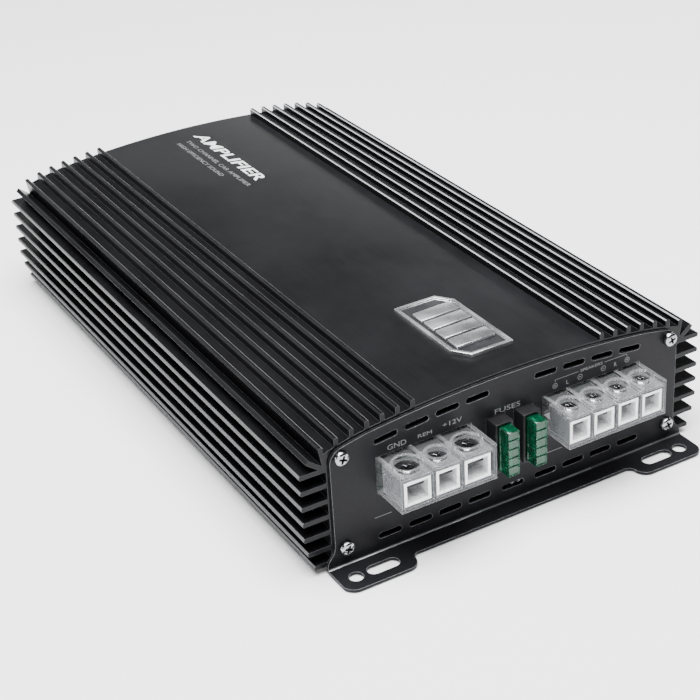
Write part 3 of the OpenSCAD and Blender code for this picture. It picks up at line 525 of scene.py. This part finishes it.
def softCopy(node, width, material=None, segments=2, angle=28):
    # a CAD node's shape again, with its sharp edges rounded off
    bm = bmesh.new()
    bm.from_mesh(frame["nodes"][node].data)
    bmesh.ops.remove_doubles(bm, verts=bm.verts, dist=welds["cad"])
    bmesh.ops.dissolve_limit(bm, angle_limit=math.radians(softSet["flat"]), verts=bm.verts, edges=bm.edges)
    bends = {e: e.calc_face_angle(0) for e in bm.edges if len(e.link_faces) == 2}
    sharp = [e for e, bend in bends.items() if bend > math.radians(angle)]
    bmesh.ops.bevel(bm, geom=sharp, offset=width * mm, offset_type="OFFSET", affect="EDGES",
        segments=segments, profile=0.5, clamp_overlap=True, material=-1)
    bmesh.ops.remove_doubles(bm, verts=bm.verts, dist=welds["fine"])
    bm.normal_update()
    smooth = []  # broad and level faces stay flat, bands and curves are smooth
    for face in bm.faces:
        broad = 2 * face.calc_area() > softSet["broad"] * mm * sum(e.calc_length() for e in face.edges)
        joined = [e for e in face.edges if len(e.link_faces) == 2]
        level = any(e.calc_face_angle(0) < math.radians(softSet["level"]) for e in joined)
        smooth.append(not broad and not level)
    low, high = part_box(node)
    out = max(max(max(low[i] - v.co[i], v.co[i] - high[i]) for i in range(3)) for v in bm.verts)
    loose = sum(1 for e in bm.edges if len(e.link_faces) != 2)
    print("  rounded", node, "edges", len(sharp), "open", loose, "outside mm", round(out / mm, 4))
    slotName = slotOf[node]
    piece = finishPiece(bm, node + "Rounded", material or finishOf(slotName), bodyOf(node), 0)
    piece.data.set_sharp_from_angle(angle=math.radians(softSet["smooth"]))
    piece.data.polygons.foreach_set("use_smooth", smooth)
    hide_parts(node)
    return piece


def recolour(piece, material, test):
    # a second finish on the faces that pass the test
    piece.data.materials.append(materials[material])
    for face in piece.data.polygons:
        if test(face.center / mm, face.normal):
            face.material_index = 1


def addBox(bm, low, high):
    size = [(h - l) * mm for l, h in zip(low, high)]
    centre = Vector([(h + l) / 2 * mm for l, h in zip(low, high)])
    made = bmesh.ops.create_cube(bm, size=1, matrix=Matrix.Translation(centre) @ Matrix.Diagonal((*size, 1)))
    return made["verts"]


def addTurned(bm, profile, centre, turn=None, steps=48):
    # profile: radius and height pairs, turned once round the local Z axis
    verts = [bm.verts.new((r * mm, 0, h * mm)) for r, h in profile]
    edges = [bm.edges.new(pair) for pair in zip(verts, verts[1:])]
    old = set(bm.verts) - set(verts)
    bmesh.ops.spin(bm, geom=verts + edges, cent=(0, 0, 0), axis=(0, 0, 1), angle=math.tau, steps=steps,
        use_merge=True)
    new = [v for v in bm.verts if v not in old]
    bmesh.ops.remove_doubles(bm, verts=new, dist=welds["spin"])
    new = [v for v in bm.verts if v not in old]
    place = Matrix.Translation(Vector(centre) * mm) @ (turn or Matrix.Identity(4))
    bmesh.ops.transform(bm, matrix=place, verts=new)


def roundEdges(bm, width, angle=30, segments=2):
    sharp = [e for e in bm.edges if len(e.link_faces) == 2 and e.calc_face_angle(0) > math.radians(angle)]
    bmesh.ops.bevel(bm, geom=sharp, offset=width * mm, offset_type="OFFSET", affect="EDGES",
        segments=segments, profile=0.5, clamp_overlap=True, material=-1)


frontFace, rearFace = -147.2, 147.2  # outer faces of the end panels, mm
roofTop = 58.9  # mm

printSet = {
    "thickness": 0.03,  # mm
    "gap": 0.004,  # between the print and the face below
    "roofGap": 0.008,
    "roofCurve": 1000,  # the roof falls by x squared over this
    "ring": (0.95, 1.15),
    "titleShear": 0.15,
    "titleWeight": 0.022,
    "smallShear": 0.1,
    "front": [  # words, left, right, low, high
        ("GND", -54.5, -46.5, 43.6, 45.8), ("REM", -41.5, -35.5, 44.1, 45.6),
        ("+12V", -30.8, -22.4, 44.7, 46.7), ("FUSES", -7.8, 3.7, 42.2, 44.3),
        ("+", 19.1, 20.3, 44.5, 45.7), ("L", 25.0, 26.0, 44.1, 45.8),
        ("-", 30.9, 31.9, 45.0, 45.25), ("-", 42.0, 43.0, 45.0, 45.25),
        ("R", 47.7, 48.9, 44.1, 45.8), ("+", 53.3, 54.5, 44.5, 45.7),
        ("SPEAKERS", 31.6, 42.0, 47.1, 48.3)],
    "frontLines": [(-61.3, -54.1, 16.5, 16.7), (15.6, 23.1, 16.2, 16.4), (19.7, 30.6, 47.6, 47.75),
        (43.0, 53.8, 47.6, 47.75), (19.7, 19.85, 46.7, 47.75), (53.65, 53.8, 46.7, 47.75)],
    "frontRings": [(19.7, 45.1), (31.4, 45.1), (42.5, 45.1), (53.9, 45.1)],
    "title": ("AMPLIFIER", 133.7, 65.0, 3.0, 9.0),  # words, back, front, low, high across
    "top": [("TWO CHANNEL CAR AMPLIFIER", 129.0, 62.0, -3.1, -0.9),
        ("HIGH EFFICIENCY SOUND", 129.0, 80.0, -8.1, -5.9)],
}


def wordsMesh(words, shear=0.0, weight=0.0):
    data = bpy.data.curves.new("words", "FONT")
    data.body = words
    data.shear = shear
    data.offset = weight
    data.extrude = 0.01
    data.resolution_u = 3
    holder = bpy.data.objects.new("words", data)
    scene.collection.objects.link(holder)
    bpy.context.view_layer.update()
    mesh = bpy.data.meshes.new_from_object(holder.evaluated_get(bpy.context.evaluated_depsgraph_get()))
    bpy.data.objects.remove(holder)
    return mesh


def placeWords(bm, words, across, along, put, shear=0.0, weight=0.0):
    # fits the words between two places across and two along, then puts each point on the surface
    mesh = wordsMesh(words, shear, weight)
    xs = [v.co.x for v in mesh.vertices]
    ys = [v.co.y for v in mesh.vertices]
    for v in mesh.vertices:
        u = (v.co.x - min(xs)) / (max(xs) - min(xs))
        w = (v.co.y - min(ys)) / max(max(ys) - min(ys), 1e-6)
        v.co = put(across[0] + u * (across[1] - across[0]), along[0] + w * (along[1] - along[0]),
            printSet["thickness"] if v.co.z > 0 else 0.0)
    bm.from_mesh(mesh)
    bpy.data.meshes.remove(mesh)


def onFront(x, z, lift):
    return Vector((x, frontFace - lift - printSet["gap"], z)) * mm


def onRoof(y, x, lift):
    return Vector((x, y, roofTop - x * x / printSet["roofCurve"] + lift + printSet["roofGap"])) * mm


def makePrint():
    thick, gap = printSet["thickness"], printSet["gap"]
    inner, outer = printSet["ring"]
    turn = Matrix.Rotation(math.radians(90), 4, "X")
    bm = bmesh.new()
    for words, left, right, low, high in printSet["front"]:
        placeWords(bm, words, (left, right), (low, high), onFront)
    for left, right, low, high in printSet["frontLines"]:
        addBox(bm, (left, frontFace - thick, low), (right, frontFace - gap, high))
    for x, z in printSet["frontRings"]:
        addTurned(bm, [(inner, gap), (outer, gap), (outer, thick), (inner, thick), (inner, gap)],
            (x, frontFace, z), turn, 24)
    finishPiece(bm, "panelPrint", "printGrey")
    bm = bmesh.new()
    words, back, front, low, high = printSet["title"]
    placeWords(bm, words, (back, front), (low, high), onRoof, printSet["titleShear"], printSet["titleWeight"])
    finishPiece(bm, "topTitle", "printWhite")
    bm = bmesh.new()
    for words, back, front, low, high in printSet["top"]:
        placeWords(bm, words, (back, front), (low, high), onRoof, printSet["smallShear"])
    finishPiece(bm, "topSmallPrint", "printGrey")


makePrint()
print("print placed")


fuseSet = {"headDepth": 6.0, "cells": 5, "rib": 0.42, "pocket": 0.55, "skirtInset": 0.35, "edge": 0.14,
    "frontRim": 0.55, "frontDeep": 0.5, "frontPeak": 0.45, "bladeEdge": 0.1, "holderEdge": 0.3}  # mm


def makeFuse(node):
    low, high = [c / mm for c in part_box(node)]
    bm = bmesh.new()
    addBox(bm, low, (high.x, low.y + fuseSet["headDepth"], high.z))
    step = (high.z - low.z) / fuseSet["cells"]
    for i in range(1, fuseSet["cells"]):
        bmesh.ops.bisect_plane(bm, geom=bm.verts[:] + bm.edges[:] + bm.faces[:], dist=welds["cut"],
            plane_co=(0, 0, (low.z + i * step) * mm), plane_no=(0, 0, 1))
    bm.normal_update()
    rear = [f for f in bm.faces if f.normal.y > 0.9]
    bmesh.ops.inset_region(bm, faces=rear, thickness=fuseSet["skirtInset"] * mm, depth=0,
        use_even_offset=True)
    rear = [f for f in rear if f.is_valid]
    grown = bmesh.ops.extrude_face_region(bm, geom=rear)
    bmesh.ops.delete(bm, geom=rear, context="FACES")
    moved = [g for g in grown["geom"] if isinstance(g, bmesh.types.BMVert)]
    shift = (high.y - low.y - fuseSet["headDepth"]) * mm
    bmesh.ops.translate(bm, verts=moved, vec=(0, shift, 0))
    bm.normal_update()
    limit = (low.y + fuseSet["headDepth"]) * mm
    sides = [f for f in bm.faces if abs(f.normal.x) > 0.9 and f.calc_center_median().y < limit]
    bmesh.ops.inset_individual(bm, faces=sides, thickness=fuseSet["rib"] * mm, depth=-fuseSet["pocket"] * mm,
        use_even_offset=True)
    fronts = [f for f in bm.faces if f.normal.y < -0.9]
    bmesh.ops.inset_individual(bm, faces=fronts, thickness=fuseSet["frontRim"] * mm,
        depth=-fuseSet["frontDeep"] * mm, use_even_offset=True)
    bmesh.ops.poke(bm, faces=fronts, offset=fuseSet["frontPeak"] * mm)
    roundEdges(bm, fuseSet["edge"], 30, 2)
    piece = finishPiece(bm, node + "Body", "fuseGreen", bodyOf(node))
    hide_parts(node)


for node in ("left_fuse", "right_fuse"):
    makeFuse(node)
    softCopy(node + "_blades", fuseSet["bladeEdge"])
    softCopy(node + "_holder", fuseSet["holderEdge"])
print("fuses placed")


badgeSet = {"rim": 1.5, "floorDrop": 0.75, "topLift": 1.5, "edge": 0.22, "barLift": 0.6,
    "middle": -107.2, "bottom": 58.4, "halfWide": 12, "halfLong": 24, "corner": 5,
    "bars": (-12.4, -4.0, 4.4, 12.8), "barHalf": 8.8, "slant": 2.2, "tilt": 1.6, "barWidth": 3.5,
    "barSink": 0.05, "barEdge": 0.3}  # mm


def badgeOutline():
    w, l, c = badgeSet["halfWide"], badgeSet["halfLong"], badgeSet["corner"]
    return [(-w, -l + c + 2), (-w + c, -l), (w, -l), (w, l - c - 2), (w - c, l), (-w, l)]


def makeBadge():
    middle, bottom, drop = badgeSet["middle"], badgeSet["bottom"], badgeSet["floorDrop"]
    top = roofTop + badgeSet["topLift"]
    bm = bmesh.new()
    base = [bm.verts.new((x * mm, (y + middle) * mm, bottom * mm)) for x, y in badgeOutline()]
    plate = bm.faces.new(base)
    grown = bmesh.ops.extrude_face_region(bm, geom=[plate])
    verts = [g for g in grown["geom"] if isinstance(g, bmesh.types.BMVert)]
    bmesh.ops.translate(bm, verts=verts, vec=(0, 0, (top - bottom) * mm))
    bmesh.ops.recalc_face_normals(bm, faces=bm.faces)
    bm.normal_update()
    lid = [f for f in bm.faces if f.normal.z > 0.9]
    bmesh.ops.inset_region(bm, faces=lid, thickness=badgeSet["rim"] * mm, depth=0, use_even_offset=True)
    lid = [f for f in lid if f.is_valid]
    grown = bmesh.ops.extrude_face_region(bm, geom=lid)
    bmesh.ops.delete(bm, geom=lid, context="FACES")
    verts = [g for g in grown["geom"] if isinstance(g, bmesh.types.BMVert)]
    bmesh.ops.translate(bm, verts=verts, vec=(0, 0, -drop * mm))
    roundEdges(bm, badgeSet["edge"], 25, 3)
    piece = finishPiece(bm, "badgePlate", "badgeSilver")
    piece.data.materials.append(materials["badgeDark"])
    for face in piece.data.polygons:
        inside = face.normal.z > 0.95 and face.center.z < (top - 0.5) * mm and face.area > 0.0001
        face.material_index = 1 if inside else 0
    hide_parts("badge")
    bm = bmesh.new()
    for y in badgeSet["bars"]:
        s, h, w = badgeSet["slant"], badgeSet["barHalf"], badgeSet["barWidth"]
        far = s / 2 - badgeSet["tilt"]
        shape = [(-h, y - w - s / 2), (h, y - w + far), (h, y + w + far), (-h, y + w - s / 2)]
        start = (top - drop - badgeSet["barSink"]) * mm
        base = [bm.verts.new((x * mm, (v + middle) * mm, start)) for x, v in shape]
        bar = bm.faces.new(base)
        grown = bmesh.ops.extrude_face_region(bm, geom=[bar])
        verts = [g for g in grown["geom"] if isinstance(g, bmesh.types.BMVert)]
        bmesh.ops.translate(bm, verts=verts, vec=(0, 0, (drop + badgeSet["barLift"]) * mm))
    bmesh.ops.recalc_face_normals(bm, faces=bm.faces)
    roundEdges(bm, badgeSet["barEdge"], 30, 3)
    finishPiece(bm, "badgeBars", "badgeSilver")


makeBadge()
print("badge placed")


sinkSet = {"tipWidth": 0.62, "long": 200, "topBand": 7, "slant": (0.2, 0.98)}  # mm; slant: least, most


def makeHeatSink():
    # painted highlights go on the long narrow chamfers of the fins
    bm = bmesh.new()
    bm.from_mesh(frame["nodes"]["heatsink"].data)
    bmesh.ops.remove_doubles(bm, verts=bm.verts, dist=welds["cad"])
    bmesh.ops.dissolve_limit(bm, angle_limit=math.radians(softSet["flat"]), verts=bm.verts, edges=bm.edges)
    edges = 0
    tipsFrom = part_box("heatsink")[1].z - sinkSet["topBand"] * mm
    least, most = sinkSet["slant"]
    long = sinkSet["long"] * mm
    for face in bm.faces:
        longest = max(e.calc_length() for e in face.edges)
        narrow = face.calc_area() / longest < sinkSet["tipWidth"] * mm and longest > long
        slanted = least < abs(face.normal.x) < most and least < abs(face.normal.z) < most
        convex = all(e.is_convex for e in face.edges if e.calc_length() > long)
        top = face.calc_center_median().z > tipsFrom
        # painted highlight on the chamfers: 1 on the side fins, 2 on the top fins
        face.material_index = (2 if top else 1) if narrow and slanted and convex else 0
        face.smooth = False
        edges += face.material_index > 0
    piece = finishPiece(bm, "finnedExtrusion", "blackAnodised", root, 0)
    piece.data.materials.append(materials["finEdge"])
    piece.data.materials.append(materials["tipEdge"])
    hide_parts("heatsink")
    print("heat sink placed, bright edges:", edges)


makeHeatSink()


rounded = {  # node: edge in mm
    "front_panel": 0.16, "rear_panel": 0.16, "power_block": 0.35, "speaker_block": 0.3,
    "bottom_plate": 0.15, "led_carrier": 0.2, "driver_chips": 0.15, "transistors": 0.12, "clamp_bars": 0.3,
    "circuit_board": 0.15, "rca_housing": 0.3, "potentiometers": 0.3, "switch_body": 0.25,
    "board_standoffs": 0.15,
}
poles = ["power_screw_%d" % i for i in (1, 2, 3)] + ["speaker_screw_%d" % i for i in (1, 2, 3, 4)]
clampSet = {"padEdge": 0.15, "cageEdge": 0.25, "recess": 0.35, "collarGap": 0.15, "collarTall": 0.5,
    "lidBand": 0.3, "recessWide": 0.78, "recessEnd": 1.75,
    "wells": (5.0, 4.0, 5.0, 3.9, 3.9, 3.9, 3.9)}  # radius of each well, mm
screwSet = {"edge": 0.18, "head": 2.95, "socket": 1.9, "deep": 0.35, "tall": 1.6}
# the bend faces that take the painted highlight
bendSet = {"least": 0.45, "most": 0.93, "below": 5, "margin": 0.01}  # faces of the bend: tilt, height in mm


def makePanelScrews(node, side):
    # side: -1 at the front, 1 at the rear; the cross recess gets painted shade
    piece = softCopy(node, screwSet["edge"])
    low, high = [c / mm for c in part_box(node)]
    r = screwSet["head"]
    axes = [(x, z) for x in (low.x + r, high.x - r) for z in (low.z + r, high.z - r)]
    top = high.y if side > 0 else -low.y

    def inRecess(at, normal):
        near = min(math.hypot(at.x - x, at.z - z) for x, z in axes)
        return near < screwSet["socket"] and 0 < top - side * at.y - screwSet["deep"] < screwSet["tall"]
    recolour(piece, "shadedSteel", inRecess)


def makePoles():
    # clamp cages with painted light on their inner faces, pressure pads painted in shade, screws with painted
    # shade in their recesses, and threaded collars painted in shade in the wells
    middles = {}
    for pole in poles:
        low, high = [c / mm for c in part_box(pole)]
        middles[pole] = ((low.x + high.x) / 2, (low.y + high.y) / 2, (high.x - low.x) / 2, high.z)
    for kind in ("power", "speaker"):
        own = [m for pole, m in middles.items() if pole.startswith(kind)]
        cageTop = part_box(kind + "_cages")[1].z / mm

        def isInner(at, normal):
            nearest = min(own, key=lambda m: abs(m[0] - at.x))
            lid = normal.z > 0.9 and at.z > cageTop - clampSet["lidBand"]
            return not lid and not (abs(normal.x) > 0.9 and (at.x - nearest[0]) * normal.x > 0)
        # painted light on the cages' inner and front faces; the lids keep the plain tin
        recolour(softCopy(kind + "_cages", clampSet["cageEdge"]), "tinBright", isInner)
        bm = bmesh.new()
        for pole, well in zip(poles, clampSet["wells"]):
            if pole.startswith(kind):
                x, y, r, top = middles[pole]
                gap, tall = clampSet["collarGap"], clampSet["collarTall"]
                inner, outer = r + gap, well - gap
                addTurned(bm, [(inner, 0), (outer, 0), (outer, tall * 0.6), (outer - 0.4, tall),
                    (inner + 0.15, tall), (inner, tall * 0.6), (inner, 0)], (x, y, cageTop), None, 40)
        bmesh.ops.recalc_face_normals(bm, faces=bm.faces)
        # the collars are painted in shade
        finishPiece(bm, kind + "Collars", "shadedSteel")
    for pole in poles:
        x, y, r, top = middles[pole]
        # the pressure pads are painted in shade
        softCopy(pole.replace("screw", "pad"), clampSet["padEdge"], "shadedSteel")
        piece = softCopy(pole, clampSet["padEdge"])
        wide, start, end = clampSet["recessWide"] * r, clampSet["recess"], clampSet["recessEnd"]
        # painted shade in each screw's recess
        recolour(piece, "shadedSteel",
            lambda at, normal: math.hypot(at.x - x, at.y - y) < wide and start < top - at.z < end)


for node, width in rounded.items():
    piece = softCopy(node, width)
    if node.endswith("_panel"):  # a painted highlight along the bend above the foot
        recolour(piece, "bendSheen", lambda at, normal: bendSet["least"] < normal.z < bendSet["most"] and
            at.z < bendSet["below"] and abs(at.y) > rearFace - bendSet["margin"])
makePanelScrews("front_panel_screws", -1)
makePanelScrews("rear_panel_screws", 1)
makePoles()
print("rounded copies placed")


knobSet = {"flutes": 12, "deep": 0.5, "gap": 0.6, "shaft": 2.95, "pointer": 0.4, "pointerEdge": 0.15}  # mm
jackSet = {"root": 138.3, "seat": 148.25, "bore": 3.42, "shell": 4.15, "nut": 4.9, "wall": 3.88}  # mm


def makeKnob(node):
    low, high = [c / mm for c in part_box(node)]
    x, z, r = (low.x + high.x) / 2, (low.z + high.z) / 2, (high.x - low.x) / 2
    start = rearFace + knobSet["gap"]
    tall, back, s = high.y - start, low.y - start, knobSet["shaft"]
    outward = Matrix.Rotation(math.radians(-90), 4, "X")
    bm = bmesh.new()
    addTurned(bm, [(0, back), (s, back), (s, 0), (r - 0.3, 0), (r, 0.3), (r, 1.3), (r - 0.25, 1.7),
        (r - 0.35, 2.2), (r - 0.75, tall - 0.7), (r - 1.05, tall - 0.2), (r - 1.5, tall), (r - 2.3, tall),
        (r - 2.6, tall - 0.3), (0, tall - 0.3)], (x, start, z), outward, 96)
    for v in bm.verts:  # finger flutes
        across, up, out = v.co.x / mm - x, v.co.z / mm - z, v.co.y / mm - start
        if 1.9 < out < tall - 0.1 and math.hypot(across, up) > r - 1.2:
            wave = 0.5 + 0.5 * math.cos(knobSet["flutes"] * math.atan2(up, across))
            keep = 1 - knobSet["deep"] * wave / math.hypot(across, up)
            v.co.x, v.co.z = (x + across * keep) * mm, (z + up * keep) * mm
    bmesh.ops.recalc_face_normals(bm, faces=bm.faces)
    piece = finishPiece(bm, node + "Turned", "knobBlack", bodyOf(node), 40)
    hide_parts(node)
    bm = bmesh.new()
    half = knobSet["pointer"]
    addBox(bm, (x - half, start + tall - 0.55, z + 0.9), (x + half, start + tall - 0.02, z + r - 1.1))
    roundEdges(bm, knobSet["pointerEdge"])
    finishPiece(bm, node + "Pointer", "whitePlastic", bodyOf(node))


def makeJacks():
    # turned shells with a flange against the panel, and the contact inside each insert
    outward = Matrix.Rotation(math.radians(-90), 4, "X")
    a, m, t = jackSet["root"], jackSet["seat"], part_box("rca_shells")[1].y / mm
    b, w, n, s = (jackSet[key] for key in ("bore", "wall", "nut", "shell"))
    shells, contacts = bmesh.new(), bmesh.new()
    for node in ("rca_insert_left", "rca_insert_right"):
        inLow, inHigh = [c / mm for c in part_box(node)]
        x, z, front = (inLow.x + inHigh.x) / 2, (inLow.z + inHigh.z) / 2, inHigh.y
        addTurned(shells, [(b, a), (w, a), (w, m), (n - 0.2, m), (n, m + 0.25), (n, m + 1.1),
            (n - 0.25, m + 1.4), (s, m + 1.5), (s, t - 0.5), (s - 0.2, t - 0.08), (s - 0.45, t),
            (b + 0.1, t - 0.15), (b, t - 0.5), (b, a)], (x, 0, z), outward, 64)
        insert, r = bmesh.new(), b - 0.07
        addTurned(insert, [(0, inLow.y), (r, inLow.y), (r, front - 0.6), (r - 0.5, front), (2.2, front),
            (1.62, front - 0.5), (1.62, front - 7), (0, front - 7)], (x, 0, z), outward, 48)
        bmesh.ops.recalc_face_normals(insert, faces=insert.faces)
        piece = finishPiece(insert, node + "Turned", finishOf(slotOf[node]), bodyOf(node))
        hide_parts(node)
        addTurned(contacts, [(1.2, front - 6.9), (1.58, front - 6.9), (1.58, front - 0.9), (1.4, front - 0.6),
            (1.2, front - 0.9), (1.2, front - 6.9)], (x, 0, z), outward, 32)
    bmesh.ops.recalc_face_normals(shells, faces=shells.faces)
    bmesh.ops.recalc_face_normals(contacts, faces=contacts.faces)
    slotName = slotOf["rca_shells"]
    piece = finishPiece(shells, "jackShells", finishOf(slotName))
    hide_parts("rca_shells")
    finishPiece(contacts, "jackContacts", "brass")


sliderSet = {"ribs": 4, "rim": 0.14, "deep": 0.3, "edge": 0.1}  # mm


def makeSlider():
    low, high = [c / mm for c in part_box("switch_slider")]
    bm = bmesh.new()
    addBox(bm, low, high)
    for i in range(1, sliderSet["ribs"]):
        bmesh.ops.bisect_plane(bm, geom=bm.verts[:] + bm.edges[:] + bm.faces[:], dist=welds["cut"],
            plane_co=((low.x + (high.x - low.x) * i / sliderSet["ribs"]) * mm, 0, 0), plane_no=(1, 0, 0))
    bm.normal_update()
    tips = [f for f in bm.faces if f.normal.y > 0.9]
    bmesh.ops.inset_individual(bm, faces=tips, thickness=sliderSet["rim"] * mm, depth=-sliderSet["deep"] * mm,
        use_even_offset=True)
    roundEdges(bm, sliderSet["edge"])
    slotName = slotOf["switch_slider"]
    piece = finishPiece(bm, "sliderGrip", finishOf(slotName), bodyOf("switch_slider"))
    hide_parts("switch_slider")


rearPrint = {
    "height": 1.5,  # mm
    "words": [  # words, middle, low, width
        ("INPUT", 45, 44.3, 6.4), ("R", 36, 41.3, 1.3), ("L", 54, 41.3, 1.1), ("GAIN", 12, 43.6, 5.4),
        ("CROSSOVER", -10, 43.6, 12.0), ("BASS", -32, 43.6, 5.2), ("FILTER", -56, 43.6, 6.8)],
    "small": 1.05,
    "smallWords": [("MIN", 18.6, 25.6, 2.5), ("MAX", 5.4, 25.6, 2.7), ("50", -3.6, 25.6, 1.7),
        ("500", -16.6, 25.6, 2.5), ("MIN", -25.4, 25.6, 2.5), ("MAX", -38.6, 25.6, 2.7),
        ("OFF", -51.5, 39.2, 2.4), ("ON", -60.5, 39.2, 1.8)],
    "lines": [(36, 40.6, 45.0, 45.15), (49.4, 54, 45.0, 45.15), (35.9, 36.05, 43.6, 45.15),
        (53.95, 54.1, 43.6, 45.15)],
    "knobs": (12, -10, -32), "ticks": 11, "tickHalf": 0.09, "tickFrom": 6.4, "tickTo": 7.5,
    "dialHeight": 34, "sweep": 270,  # degrees from the first tick to the last
}


def onRear(x, z, lift):
    return Vector((x, rearFace + lift + printSet["gap"], z)) * mm


def makeRearPrint():
    r = rearPrint
    thick, gap, half = printSet["thickness"], printSet["gap"], r["tickHalf"]
    bm = bmesh.new()
    for words, tall in ((r["words"], r["height"]), (r["smallWords"], r["small"])):
        for text, middle, low, wide in words:
            placeWords(bm, text, (middle + wide / 2, middle - wide / 2), (low, low + tall), onRear)
    for left, right, low, high in r["lines"]:
        addBox(bm, (left, rearFace + gap, low), (right, rearFace + thick, high))
    for x in r["knobs"]:
        for i in range(r["ticks"]):
            turn = math.radians(r["sweep"] * (i / (r["ticks"] - 1) - 0.5))
            verts = addBox(bm, (-half, gap, r["tickFrom"]), (half, thick, r["tickTo"]))
            place = Matrix.Translation(Vector((x, rearFace, r["dialHeight"])) * mm)
            bmesh.ops.transform(bm, verts=verts, matrix=place @ Matrix.Rotation(turn, 4, "Y"))
    finishPiece(bm, "rearPrint", "printGrey")


for node in ("gain_knob", "crossover_knob", "bass_knob"):
    makeKnob(node)
makeJacks()
makeSlider()
makeRearPrint()
print("rear controls placed")
